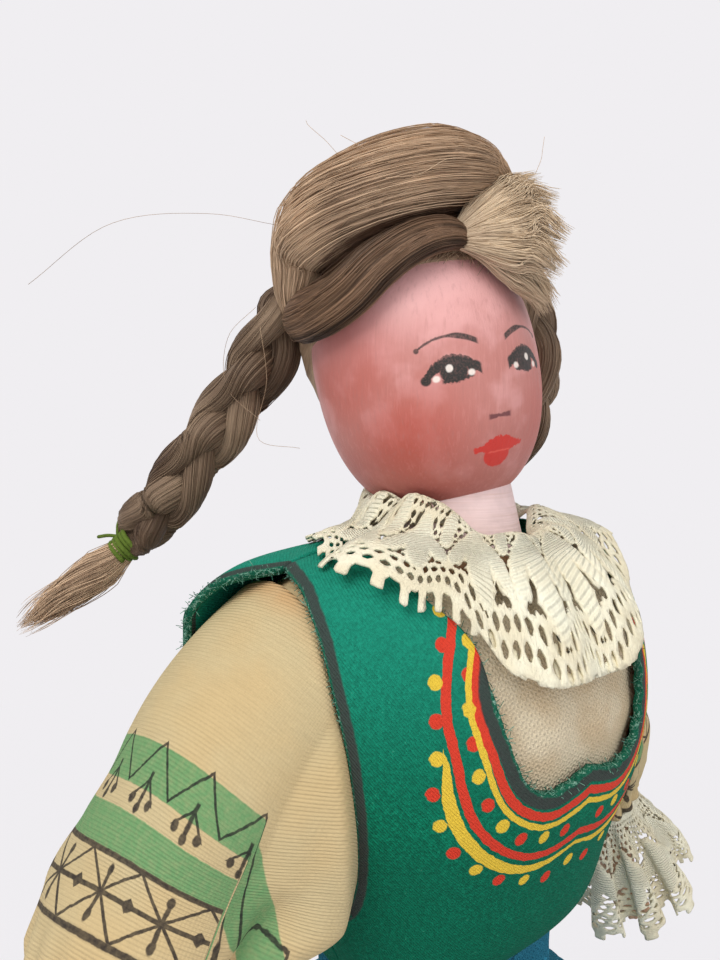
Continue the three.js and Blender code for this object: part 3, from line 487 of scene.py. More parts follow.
def solid_of(grid, **fields):
    """A closed solid over rings of points that go round their own way of travel, with end points."""
    rows, columns = grid.shape[:2]
    ends = np.stack([grid[0].mean(0), grid[-1].mean(0)])
    here = np.arange(columns)
    beside = (here + 1) % columns
    low, high = rows * columns, rows * columns + 1
    last = (rows - 1) * columns
    foot = np.stack([np.full(columns, low), beside, here], -1)
    head = np.stack([np.full(columns, high), last + here, last + beside], -1)
    full = {}
    for name, values in fields.items():
        values = np.broadcast_to(values, (rows, columns))
        full[name] = np.concatenate([values.ravel(), [values[0].mean(), values[-1].mean()]])
    points = np.concatenate([grid.reshape(-1, 3), ends])
    return Shape(points, [cells(rows, columns, True), np.concatenate([foot, head])], **full)


def threads(paths, radius, sides=3, **fields):
    """Round threads along many paths at once: a ring of points about each place of each path."""
    count, places = paths.shape[:2]
    along = unit(np.gradient(paths, axis=1))
    aside = unit(np.cross(along, np.array([0.31, 0.22, 0.93])))
    over = np.cross(along, aside)
    turn = 2 * np.pi * np.arange(sides) / sides
    ring = np.cos(turn)[:, None] * aside[:, :, None] + np.sin(turn)[:, None] * over[:, :, None]
    radius = np.broadcast_to(radius, (count, places))
    points = paths[:, :, None] + ring * radius[..., None, None]
    starts = np.arange(count)[:, None] * places * sides
    walls = (starts[..., None] + cells(places, sides, True)).reshape(-1, 4)
    rim = np.arange(sides)
    caps = np.concatenate([starts + rim[::-1], starts + (places - 1) * sides + rim])
    full = {
        name: np.broadcast_to(np.asarray(values)[..., None], (count, places, sides))
        for name, values in fields.items()
    }
    return Shape(points, [walls, caps], **full)


def turned(profile, origin, way, sides=48):
    """A shape turned on a lathe: [radius, height] points carried round an axis."""
    profile = np.asarray(profile, float)
    turn = 2 * np.pi * np.arange(sides) / sides
    ring = np.stack([np.sin(turn), -np.cos(turn), np.zeros(sides)], -1)
    grid = ring * profile[:, :1, None] + np.array([0, 0, 1]) * profile[:, 1:, None]
    tilt = np.array(Vector((0, 0, 1)).rotation_difference(Vector(way)).to_matrix())
    return solid_of(np.asarray(origin) + grid @ tilt.T)


def place_piece(name, shape, finish, body=None, replaces=()):
    """A finished object at the origin, with the shape's points in metres and its numbers kept."""
    mesh = bpy.data.meshes.new(name)
    corners = np.concatenate([group.ravel() for group in shape.faces]).astype(np.int32)
    counts = np.concatenate([np.full(len(group), group.shape[1]) for group in shape.faces])
    starts = np.concatenate([[0], np.cumsum(counts)[:-1]]).astype(np.int32)
    mesh.vertices.add(len(shape.points))
    mesh.vertices.foreach_set("co", (shape.points * MM).astype(np.float32).ravel())
    mesh.loops.add(len(corners))
    mesh.loops.foreach_set("vertex_index", corners)
    mesh.polygons.add(len(counts))
    mesh.polygons.foreach_set("loop_start", starts)
    mesh.polygons.foreach_set("use_smooth", np.ones(len(counts), bool))
    for field, values in shape.fields.items():
        attribute = mesh.attributes.new(field, "FLOAT", "POINT")
        attribute.data.foreach_set("value", np.ascontiguousarray(values, np.float32))
    mesh.update(calc_edges=True)
    mesh.materials.append(finish)
    piece = bpy.data.objects.new(name, mesh)
    bpy.context.scene.collection.objects.link(piece)
    if replaces:
        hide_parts(*replaces)
    if body:
        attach(piece, body)
    return piece


def thicken(piece, millimetres, offset):
    """Gives a single layer its thickness; an offset of -1 keeps the layer as the outside."""
    wall = piece.modifiers.new("thickness", "SOLIDIFY")
    wall.thickness = millimetres * MM
    wall.offset = offset
    wall.use_even_offset = False
    wall.use_rim = True


# Finishes
class Field:
    """A number or colour that varies over a surface, on one output of a shader node."""

    def __init__(self, finish, socket):
        self.finish = finish
        self.socket = socket

    def math(self, operation, *others):
        """One step of arithmetic on this field."""
        return self.finish.node("ShaderNodeMath", [self, *others], operation=operation)

    def __add__(self, other):
        return self.math("ADD", other)

    def __sub__(self, other):
        return self.math("SUBTRACT", other)

    def __mul__(self, other):
        return self.math("MULTIPLY", other)

    def __truediv__(self, other):
        return self.math("DIVIDE", other)

    def __abs__(self):
        return self.math("ABSOLUTE")

    def over(self, edge, soft=0.08):
        """0 below an edge and 1 above it, over a soft width."""
        return self.finish.node(
            "ShaderNodeMapRange", [self, edge - soft / 2, edge + soft / 2],
            interpolation_type="SMOOTHSTEP",
        )

    def under(self, edge, soft=0.08):
        """1 below an edge and 0 above it, over a soft width."""
        return self.over(edge, soft).math("SUBTRACT", 1.0).math("ABSOLUTE")

    def between(self, low, high, soft=0.08):
        """1 between two edges and 0 elsewhere."""
        return self.over(low, soft) * self.under(high, soft)

    def off_beat(self, pitch):
        """Distance from the nearest multiple of a pitch, with its sign."""
        return (self / pitch - (self / pitch).math("ROUND")) * pitch

    def larger(self, other):
        """The larger of two fields at each place."""
        return self.math("MAXIMUM", other)

    def smaller(self, other):
        """The smaller of two fields at each place."""
        return self.math("MINIMUM", other)


def far(across, up):
    """Distance from a mark's middle."""
    return (across * across + up * up).math("SQRT")


class Finish:
    """A node material whose colour, roughness and bump are built from fields."""

    def __init__(self, name, roughness, gloss=0.12):
        self.material = bpy.data.materials.new(name)
        self.material.use_nodes = True
        self.tree = self.material.node_tree
        self.shader = self.tree.nodes["Principled BSDF"]
        self.shader.inputs["Roughness"].default_value = roughness
        self.shader.inputs["Specular IOR Level"].default_value = gloss

    def node(self, kind, inputs, output=0, **settings):
        """A new node with its settings and inputs, as a field on one of its outputs."""
        made = self.tree.nodes.new(kind)
        for setting, value in settings.items():
            setattr(made, setting, value)
        pairs = inputs.items() if isinstance(inputs, dict) else enumerate(inputs)
        for key, value in pairs:
            if isinstance(value, Field):
                self.tree.links.new(value.socket, made.inputs[key])
            else:
                made.inputs[key].default_value = value
        return Field(self, made.outputs[output])

    def kept(self, name):
        """A number kept at the mesh's points."""
        return self.node("ShaderNodeAttribute", {}, output="Fac", attribute_name=name)

    def place(self, x=1.0, y=1.0, z=1.0):
        """Object coordinates in millimetres, each stretched by its own factor."""
        spot = self.node("ShaderNodeTexCoord", {}, output="Object")
        scale = (x / MM, y / MM, z / MM)
        return self.node("ShaderNodeMapping", {"Vector": spot, "Scale": scale})

    def vector(self, x, y, z=0.0):
        """Three fields as one vector."""
        return self.node("ShaderNodeCombineXYZ", [x, y, z])

    def apart(self, vector):
        """The three numbers of a vector."""
        made = self.tree.nodes.new("ShaderNodeSeparateXYZ")
        self.tree.links.new(vector.socket, made.inputs[0])
        return [Field(self, socket) for socket in made.outputs]

    def noise(self, vector, scale=1.0, detail=2.0, rough=0.5):
        """Cloudy noise from 0 to 1."""
        inputs = {"Vector": vector, "Scale": scale, "Detail": detail, "Roughness": rough}
        return self.node("ShaderNodeTexNoise", inputs)

    def blend(self, share, first, second):
        """The first colour at a share of 0, the second at 1."""
        return self.node("ShaderNodeMix", {0: share, 6: first, 7: second}, output=2, data_type="RGBA")

    def wave(self, field, pitch):
        """An even wave from -1 to 1 over a pitch."""
        return (field * (2 * np.pi / pitch)).math("SINE")

    def done(self, colour, height=None, depth=0.1, roughness=None, strength=1.0):
        """Joins the fields to the shader; depth is the bump's height in millimetres."""
        self.tree.links.new(colour.socket, self.shader.inputs["Base Color"])
        if roughness is not None:
            self.tree.links.new(roughness.socket, self.shader.inputs["Roughness"])
        if height is not None:
            inputs = {"Strength": strength, "Distance": depth * MM, "Height": height}
            bump = self.node("ShaderNodeBump", inputs)
            self.tree.links.new(bump.socket, self.shader.inputs["Normal"])
        return self.material


def toned(colour, factor):
    """A colour made darker or lighter by a factor."""
    return (*(min(1.0, channel * factor) for channel in colour[:3]), 1.0)


def weave(finish, across, up, pitch):
    """Height of a plain weave: each thread passes over and under the ones that cross it."""
    warp = finish.wave(across, pitch) * finish.wave(up, 2 * pitch)
    weft = finish.wave(up + pitch / 2, pitch) * finish.wave(across + pitch, 2 * pitch)
    return warp.larger(weft)


def head_paint():
    """Paint on turned wood: pale brow, rubbed red cheeks, upright brush marks and a painted face."""
    f = Finish("head_paint", 0.5, 0.35)
    around, up = f.kept("face_angle"), f.kept("face_height")
    spot = f.place()
    streaks = f.noise(f.place(1.6, 1.6, 0.16), 1.0, 4.0, 0.65)
    mottle = f.noise(spot, 0.16, 3.0)
    base = f.blend(up.over(4, 16), paint("skin"), paint("brow"))
    base = f.blend(mottle.over(0.56, 0.22) * 0.35, base, toned(paint("brow"), 1.04))
    sideways = (abs(around + 2) - 52) * 0.3
    cheek = far(sideways * 0.75, (up + 13.5) * 0.85).under(5.8, 10.5)
    temple = far((abs(around) - 78) * 0.22, (up - 0.5) * 0.55).under(5.5, 7)
    jaw = up.under(-13, 11) * abs(around).over(26, 44)
    red = (cheek * 0.8).larger(temple * 0.5).larger(jaw * 0.34)
    red = red * (streaks * 0.7 + 0.62)
    base = f.blend(red, base, paint("blush"))
    base = f.blend(up.under(-15, 12) * 0.3, base, toned(paint("blush"), 0.66))
    base = f.blend(streaks.over(0.6, 0.2) * 0.1, base, toned(paint("brow"), 1.1))
    base = f.blend(streaks.under(0.4, 0.16) * 0.2, base, toned(paint("skin"), 0.72))
    for middle, turn in ((-25.5, 1.0), (17.5, -1.0)):
        base = eye(f, base, (around - middle) * 0.345 * turn, up)
    for middle, turn in ((-26.0, 1.0), (19.5, -1.0)):
        base = brow(f, base, (around - middle) * 0.345 * turn, up)
    ragged = f.noise(spot, 1.9, 3.0) * 1.1 - 0.55
    beside_nose = abs(around + 4.6)
    nose = (abs(up + 12.75 + ragged * 0.4) - beside_nose * 0.03).under(0.24, 0.25)
    nose = nose * beside_nose.under(6.6, 1.8)
    base = f.blend(nose * 0.85, base, display(92, 46, 52))
    lip = (around + 4.5) * 0.31
    peaks = abs(lip).under(2.6, 1.6) * 0.5
    slim = abs(up + 17.35 + abs(lip) * 0.03 + ragged) - peaks + abs(lip) * 0.12
    upper = slim.under(0.95, 0.22) * abs(lip + ragged).under(5.2, 0.5)
    lower = far((lip + 0.5) * 0.62, up + 18.9 + ragged * 0.6).under(1.75, 0.25)
    parting = abs(up + 18.3 + ragged * 0.3).under(0.12, 0.2) * abs(lip).under(2.4, 1.0)
    base = f.blend(upper.larger(lower) * 0.94, base, paint("lips"))
    base = f.blend(parting * 0.55, base, display(222, 100, 84))
    height = streaks + mottle * 0.6
    return f.done(base, height, 0.12, streaks * 0.22 + 0.4)


def eye(f, base, across, up):
    """A painted eye: a thick arched lid, a dark iris, blots at both corners and three white specks."""
    shaky = f.noise(f.place(), 2.1, 3.0) * 1.0 - 0.5
    lid = abs(up + 3.0 + across * across * 0.095 + shaky).under(0.78, 0.25) * abs(across).under(4.7, 0.5)
    crease = abs(up + 2.2 + across * across * 0.1 + shaky).under(0.2, 0.2) * abs(across).under(3.6, 1.0)
    iris = far(across * 0.8 - 0.1, up + 4.6 + shaky).under(1.85, 0.3)
    under_lid = abs(up + 6.0 - across * across * 0.03 + shaky).under(0.3, 0.3)
    under_lid = under_lid * abs(across - 0.6).under(2.6, 0.6)
    corner = far(across + 4.55, (up + 5.25) * 1.1).under(0.85, 0.35)
    inner = far(across - 3.5, (up + 4.35) * 1.5).under(1.25, 0.5)
    dark = lid.larger(iris).larger(under_lid).larger(corner).larger(inner).larger(crease * 0.8)
    dry = f.noise(f.place(), 3.2, 2.0)
    base = f.blend(dark * (dry * 0.4 + 0.76).smaller(0.98), base, paint("mark"))
    specks = far(across + 0.55 + shaky * 0.4, up + 4.05).under(0.6, 0.3)
    for middle in (-2.9, 2.9):
        specks = specks.larger(far((across - middle) * 0.85, up + 5.3).under(0.5, 0.35))
    return f.blend(specks * 0.9, base, display(234, 224, 214))


def brow(f, base, across, up):
    """A thin arched brow, thicker towards the nose and broken like a dry brush stroke."""
    dry = f.noise(f.place(), 2.6, 2.0)
    line = abs(up - 1.0 + across * across * 0.058 + across * 0.02)
    width = line - across.over(1.0, 2.5) * 0.3 + (dry - 0.5) * across.under(-1, 3) * 0.5
    stroke = width.under(0.2, 0.24) * abs(across).under(5.1, 0.6)
    stroke = stroke.larger(far(across + 4.9, up + 0.35).under(0.42, 0.25))
    return f.blend(stroke * (dry * 0.7 + 0.5).smaller(0.95), base, paint("mark"))


def neck_paint():
    """Thin pale paint, worn where the head rubs, with turning marks."""
    f = Finish("neck_paint", 0.55, 0.3)
    worn = f.noise(f.place(), 0.4, 4.0)
    rings = f.noise(f.place(0.05, 0.05, 2.4), 1.0, 3.0)
    base = f.blend(worn.over(0.55, 0.3) * 0.6, paint("neck"), toned(paint("neck"), 0.86))
    base = f.blend(rings.over(0.62, 0.2) * 0.25, base, paint("wood"))
    return f.done(base, rings, 0.1)


def bare_wood():
    """Close-grained wood: long streaks and small pores."""
    f = Finish("bare_wood", 0.62, 0.3)
    grain = f.noise(f.place(0.9, 0.9, 0.07), 1.0, 5.0, 0.6)
    pores = f.noise(f.place(3.2, 3.2, 0.4), 1.0, 2.0)
    base = f.blend(grain.over(0.5, 0.4), toned(paint("wood"), 0.74), paint("wood"))
    base = f.blend(pores.under(0.36, 0.1) * 0.5, base, toned(paint("wood"), 0.5))
    return f.done(base, grain + pores * 0.5, 0.12, grain * 0.2 + 0.5)


def boot_paint():
    """Dark glossy paint with brush marks, worn through to wood at the sole and toe."""
    f = Finish("boot_paint", 0.4, 0.5)
    brush = f.noise(f.place(0.5, 0.5, 1.8), 1.0, 4.0)
    patches = f.noise(f.place(), 0.5, 4.0, 0.65)
    up = f.apart(f.place())[2]
    worn = (patches + up.under(3.0, 5.0) * 0.16).over(0.68, 0.05)
    base = f.blend(brush.over(0.5, 0.4) * 0.5, paint("boot"), toned(paint("boot"), 1.7))
    base = f.blend(worn, base, toned(paint("wood"), 0.7))
    return f.done(base, brush - worn * 0.6, 0.14, worn * 0.35 + 0.28)


def wool_hair(name, dark, pale):
    """Combed wool: long streaks that follow the lock, with a darkness for each hair that is partly its
    own and partly painted shade.
    """
    f = Finish(name, 0.55, 0.3)
    tone, around, along = f.kept("tone"), f.kept("lock_around"), f.kept("lock_along")
    streak = f.noise(f.vector(around * 2.0, along * 0.055), 1.0, 4.0, 0.7)
    fine = f.noise(f.vector(around * 6.0, along * 0.1, 7.0), 1.0, 2.0)
    patch = f.noise(f.place(), 0.07, 2.0)
    # The kept value per hair is partly the wool's own colour and partly painted light and shade.
    mixed = streak * 0.5 + fine * 0.2 + tone * 0.34 + patch * 0.5
    base = f.blend(mixed.over(0.76, 0.84), dark, pale)
    base = f.blend(fine.under(0.36, 0.14) * 0.25, base, toned(dark, 0.62))
    return f.done(base, streak + fine * 1.2, 0.2)


def tie_thread():
    """Loose cotton thread, dull green."""
    f = Finish("tie_thread", 0.85)
    twist = f.noise(f.place(), 2.4, 3.0)
    return f.done(f.blend(twist, toned(paint("thread"), 0.6), toned(paint("thread"), 1.25)), twist, 0.15)


def vest_felt():
    """Twilled wool felt: slanting ribs, flecks, dark painted edges and a painted trim that follows
    the neckline in lines and dots, with painted light at the top and painted shade at the bottom."""
    f = Finish("vest_felt", 0.95)
    gap, run, arm_gap = f.kept("trim_gap"), f.kept("trim_run"), f.kept("arm_gap")
    spot = f.place()
    x, y, z = f.apart(spot)
    ribs = f.wave(z + x * 0.8 - y * 0.8, 0.62)
    fleck = f.noise(spot, 1.7, 3.0, 0.7)
    cloudy = f.noise(spot, 0.09, 2.0)
    base = f.blend(fleck.over(0.52, 0.3), toned(paint("felt"), 0.62), toned(paint("felt"), 1.2))
    base = f.blend(cloudy.over(0.5, 0.5) * 0.4, base, toned(paint("felt"), 0.66))
    # Painted light: the felt turns paler and bluer towards the top of the chest.
    base = f.blend(z.over(218, 40) * (fleck * 0.6 + 0.3), base, display(34, 146, 124))
    # Painted shade: the felt turns darker towards the hem.
    base = f.blend(z.under(192, 34) * 0.5, base, toned(paint("felt"), 0.5))
    base = f.blend(fleck.over(0.72, 0.07) * 0.3, base, display(120, 176, 150))
    shaky = f.noise(spot, 0.7, 2.0) * 0.5 - 0.25
    line = gap + shaky
    trim = f.kept("has_trim")
    close = f.kept("trim_close")
    heavy = run.under(23, 10) * run.over(9, 8) * 1.2
    red = abs(line - close * 2.0 - 1.6).under(0.75).larger(abs(line - close * 9.6 - 1.4).under(0.75))
    yellow = abs(line - close * 4.0 - 1.4).under(0.5)
    outer = abs(line - close * 12.0 - 1.2 - heavy * 0.5) - heavy * 0.5 + run.over(27, 6) * 0.8
    yellow = yellow.larger(outer.under(0.42))
    drop = far(run * 0.9, (line - 7.4) * 0.45).under(0.85, 0.14)
    dots_red = (f.kept("dot_red") + shaky * 0.5).under(1.15, 0.2)
    dots_yellow = (f.kept("dot_yellow") + shaky * 0.5).under(1.15, 0.2).larger(drop)
    base = f.blend(red.larger(dots_red) * trim * 0.95, base, paint("trim_red"))
    base = f.blend(yellow.larger(dots_yellow) * trim * 0.95, base, paint("trim_yellow"))
    edge = (gap + shaky * 0.7).under(2.3, 0.35).larger((arm_gap + shaky * 0.7).under(1.8, 0.4))
    base = f.blend(edge * 0.9, base, paint("edging"))
    bare = (gap + fleck * 0.9).under(0.85, 0.4).larger((arm_gap + fleck * 0.8).under(0.7, 0.4))
    base = f.blend(bare * 0.8, base, toned(paint("felt"), 0.75))
    base = f.blend(bare * fleck.over(0.58, 0.06) * 0.7, base, display(150, 190, 172))
    painted = edge.larger(red).larger(yellow) * trim
    height = ribs * 0.22 + fleck * 1.3 + painted * 0.3
    return f.done(base, height, 0.22, painted * -0.15 + 0.92)


def bib_linen():
    """Basket-woven linen with a tea-coloured stain below the lace."""
    f = Finish("bib_linen", 0.94)
    x, y, z = f.apart(f.place())
    height = weave(f, x, z, 0.75)
    uneven = f.noise(f.place(), 0.5, 3.0)
    stain = f.noise(f.place(), 0.1, 3.0).over(0.5, 0.3) * z.between(206, 226, 9)
    base = f.blend(height * 0.5 + 0.5, toned(paint("bib"), 0.78), toned(paint("bib"), 1.05))
    base = f.blend(uneven.over(0.5, 0.5) * 0.3, base, toned(paint("bib"), 0.86))
    base = f.blend(stain * 0.4, base, display(176, 140, 92))
    return f.done(base, height, 0.16)


def sleeve_linen():
    """Ribbed linen, printed with two green bands, a zigzag with sprigs and a row of stars in lines."""
    f = Finish("sleeve_linen", 0.94)
    around, down = f.kept("print_around"), f.kept("print_down")
    spot = f.place()
    ribs = f.wave(f.kept("rib_down"), 0.58)
    cross = f.wave(around, 0.5)
    slub = f.noise(f.vector(around * 0.25, f.kept("rib_down") * 2.2), 1.0, 3.0)
    stain = f.noise(spot, 0.055, 3.0)
    base = f.blend(slub, toned(paint("linen"), 0.84), toned(paint("linen"), 1.06))
    base = f.blend(stain.over(0.52, 0.3) * 0.32, base, display(204, 168, 112))
    # Orange-brown along the armhole seam: partly a stain and partly painted shade in the gap under the
    # felt's edge.
    base = f.blend(f.kept("seam_stain_and_shade") * stain.over(0.38, 0.3) * 0.35, base, display(196, 124, 62))
    shaky = f.noise(spot, 0.9, 2.0) * 0.5 - 0.25
    down = down + shaky * 0.5
    around = around + shaky * 0.8
    green = down.between(13.5, 20.0, 0.25).larger(down.between(23.8, 29.6, 0.25))
    patchy = f.noise(spot, 1.3, 3.0)
    base = f.blend(green * (patchy * 0.5 + 0.66).smaller(0.96), base, paint("print_green"))
    dark = printed_lines(f, around, down)
    base = f.blend(dark * (patchy * 0.4 + 0.68).smaller(0.95), base, paint("print_dark"))
    height = ribs * 0.6 + cross * 0.2 + slub * 0.6
    return f.done(base, height, 0.09)


def printed_lines(f, around, down):
    """Zigzag, hanging sprigs, thick lines and stars, each as the gap from its own strokes."""
    zig_pitch, star_pitch, star_height = 8.378, 10.053, 10.3
    beside = (around - 5.0).off_beat(zig_pitch)
    zigzag = abs(down - 12.9 - abs(beside) * 1.6).under(0.34, 0.25)
    stem = abs(beside).under(0.27, 0.2) * down.between(17.2, 22.6, 0.3)
    arms = abs(abs(beside) * 1.5 - (down - 18.4)).under(0.34, 0.2) * down.between(18.2, 21.8, 0.3)
    tip = far(abs(beside) - 1.7, (down - 21.7) * 0.6).under(0.55, 0.2)
    tip = tip.larger(far(beside, (down - 22.7) * 0.55).under(0.5, 0.2))
    lines = abs(down - 30.0).under(0.45, 0.2).larger(abs(down - 40.9).under(0.45, 0.2))
    middle = down - 35.4
    side = (around - 5.5).off_beat(star_pitch)
    slope = star_height / star_pitch
    inside = abs(middle).under(star_height / 2, 0.2)
    crossing = abs(abs(middle) - abs(side) * slope).under(0.34, 0.22) * inside
    spoke = abs(side).under(0.3, 0.2) * abs(middle).under(3.6, 0.4)
    knob = far(side, (abs(middle) - 3.3) * 0.55).under(0.52, 0.2)
    bar = abs(middle).under(0.36, 0.2)
    between = (around - 5.5 + star_pitch / 2).off_beat(star_pitch)
    diamond = (abs(between) + abs(middle)).under(1.15, 0.25)
    marks = zigzag.larger(stem).larger(arms).larger(tip).larger(lines)
    return marks.larger(crossing).larger(spoke).larger(knob).larger(bar).larger(diamond)


def cotton_lace():
    """Aged cotton thread: close-set strands, yellowed in patches."""
    f = Finish("cotton_lace", 0.93)
    around, down = f.kept("lace_around"), f.kept("lace_down")
    strands = f.noise(f.vector(around * 2.6, down * 2.6), 1.0, 3.0, 0.6)
    woven = f.wave(down + around * 0.15, 0.55) * f.kept("leaf")
    aged = f.noise(f.place(), 0.12, 3.0)
    base = f.blend(strands, toned(paint("lace"), 0.82), toned(paint("lace"), 1.1))
    base = f.blend(aged.over(0.5, 0.3) * 0.3, base, display(196, 170, 118))
    base = f.blend(f.kept("leaf") * 0.35, base, toned(paint("lace"), 1.16))
    return f.done(base, strands * 1.4 + woven * 0.6, 0.3)


def plain_cotton(name, tint):
    """Plain-woven cotton with large, soft, darker patches."""
    f = Finish(name, 0.9)
    around, down = f.kept("cloth_around"), f.kept("cloth_down")
    height = weave(f, around, down, 0.6)
    slub = f.noise(f.vector(around * 0.2, down * 2.0), 1.0, 3.0)
    faded = f.noise(f.place(), 0.05, 3.0)
    base = f.blend(height * 0.5 + 0.5, toned(tint, 0.72), toned(tint, 1.1))
    base = f.blend(slub.over(0.55, 0.3) * 0.3, base, toned(tint, 1.3))
    base = f.blend(faded.over(0.5, 0.4) * 0.3, base, toned(tint, 0.7))
    stitch = abs(f.kept("hem_gap") - 5).under(0.25, 0.2) * f.wave(around, 2.6).over(-0.2, 0.3)
    base = f.blend(stitch * 0.6, base, toned(tint, 1.5))
    return f.done(base, height + slub - stitch * 2.0, 0.14)


# Wooden pieces
def head_egg():
    """Egg of the head: half an ellipse for the crown and a fuller half for the jaw, turned about the
    head's axis."""
    tilt = np.linspace(0, np.pi, 112)[1:-1, None]
    rise = -np.cos(tilt)
    power = np.where(rise < 0, JAW_FULLNESS, 2.0)
    level = HEAD_RADIUS * (1 - np.abs(rise) ** power) ** (1 / power)
    angle = np.linspace(-180, 180, 180, endpoint=False)[None, :]
    turn = np.radians(angle)
    height = rise * np.where(rise < 0, CHIN_DROP, CROWN_RISE)
    local = points_of(level * np.sin(turn), -level * np.cos(turn), height)
    angles, heights = np.broadcast_arrays(angle, height)
    return solid_of(from_head(local), face_angle=angles, face_height=heights)


def neck_post():
    """Straight turned post with eased edges, from inside the torso into the head."""
    r, top = NECK_RADIUS, NECK_LENGTH
    profile = [(r - 4, -9), (r - 0.6, -8.6), (r, -8), (r, top - 1), (r - 0.4, top - 0.2), (6, top),
               (6, top + 14)]
    return turned(profile, NECK_PLACE, NECK_AXIS)


def arm_axes(side):
    """Way down the arm, and the directions across it to the outside and to the front."""
    way = ARM_WAY * [side, 1, 1]
    out = np.array([side, 0, 0])
    outside = unit(out - (out @ way) * way)
    front = np.array([0, -1, 0])
    ahead = unit(front - (front @ way) * way)
    return way, outside, unit(ahead - (ahead @ outside) * outside)


def hinge(side):
    """Middle of a shoulder's hinge."""
    name = "right_shoulder" if side < 0 else "left_shoulder"
    return np.array(JOINTS[name]["pos_m"]) / MM


def arm_stick(side):
    """Turned stick from inside the sleeve to a slimmer wrist."""
    profile = [(2, 6), (5.2, 7), (5.5, 9), (5.5, 62), (5.2, 66), (4.4, 86), (4.3, ARM_LENGTH)]
    return turned(profile, hinge(side), arm_axes(side)[0], 32)


def hand(side):
    """Carved mitten: oval sections that widen at the palm, grooved between the fingers, and a thumb."""
    way, outside, ahead = arm_axes(side)
    along = np.linspace(0, 1, 40)[:, None]
    turn = np.linspace(0, 2 * np.pi, 48, endpoint=False)[None, :]
    wide = np.interp(along, [0, 0.15, 0.4, 0.7, 0.92, 1], [4.3, 4.2, 5.0, 4.5, 3.4, 1.6])
    thick = np.interp(along, [0, 0.15, 0.4, 0.7, 0.92, 1], [4.3, 3.5, 3.0, 2.5, 1.9, 0.9])
    fingers = smooth(0.5, 0.62, along) * 0.35 * np.abs(np.cos(turn)) ** 0.5
    groove = fingers * np.cos(4 * np.pi * np.sin(turn)) * 0.9
    centre = hinge(side) + way * (ARM_LENGTH + 0.3 + along * HAND_LENGTH)[..., None]
    grid = centre + outside * ((thick + groove) * np.cos(turn))[..., None] * side
    grid = grid + ahead * (wide * np.sin(turn))[..., None] * -1
    palm = solid_of(grid)
    start = hinge(side) + way * (ARM_LENGTH + 4.5) + ahead * 3.2
    line = route([start, start + way * 3.5 + ahead * 2.4, start + way * 8.5 + ahead * 2.8], 16)
    swell = 1.65 * np.sqrt(np.clip(1.0 - np.linspace(-0.5, 1, 16) ** 4, 0.05, 1))
    return joined(palm, threads(line[None], swell[None], 16))


def boot(side):
    """Level sections from sole to rim: rounded at the heel, drawn out to the toe, narrow in the shaft."""
    height = np.concatenate([[0, 0.5, 2.2, 2.6, 3.2], np.linspace(4, 43, 60), [43.6, 44]])[:, None]
    turn = np.linspace(0, 2 * np.pi, 72, endpoint=False)[None, :]
    heel = 13 - 1.3 * smooth(8, 30, height) * (1 - smooth(36, 43, height))
    toe = np.interp(height, [0, 3, 8, 11, 12.5, 15, 19, 24, 32, 44],
                    [30.5, 31, 29.5, 26, 22, 17, 12.5, 9, 7.2, 7])
    half = np.interp(height, [0, 3, 12, 20, 30, 44], [9.2, 9.5, 9.3, 8.6, 8.9, 9.5])
    welt = 0.55 * ((height <= 2.3) * 1.0) - 0.5 * np.exp(-((height - 43.9) / 0.4) ** 2)
    middle, reach = (heel - toe) / 2, (heel + toe) / 2 + welt
    s, c = np.sin(turn), np.cos(turn)
    slim = 1 - 0.14 * np.clip(c, 0, 1) ** 2 * (1 - smooth(14, 24, height))
    x = (half + welt) * np.sign(s) * np.abs(s) ** 0.8 * slim
    y = middle - reach * np.sign(c) * np.abs(c) ** 0.82
    return solid_of(points_of(x + LEG_APART * side, y, height))


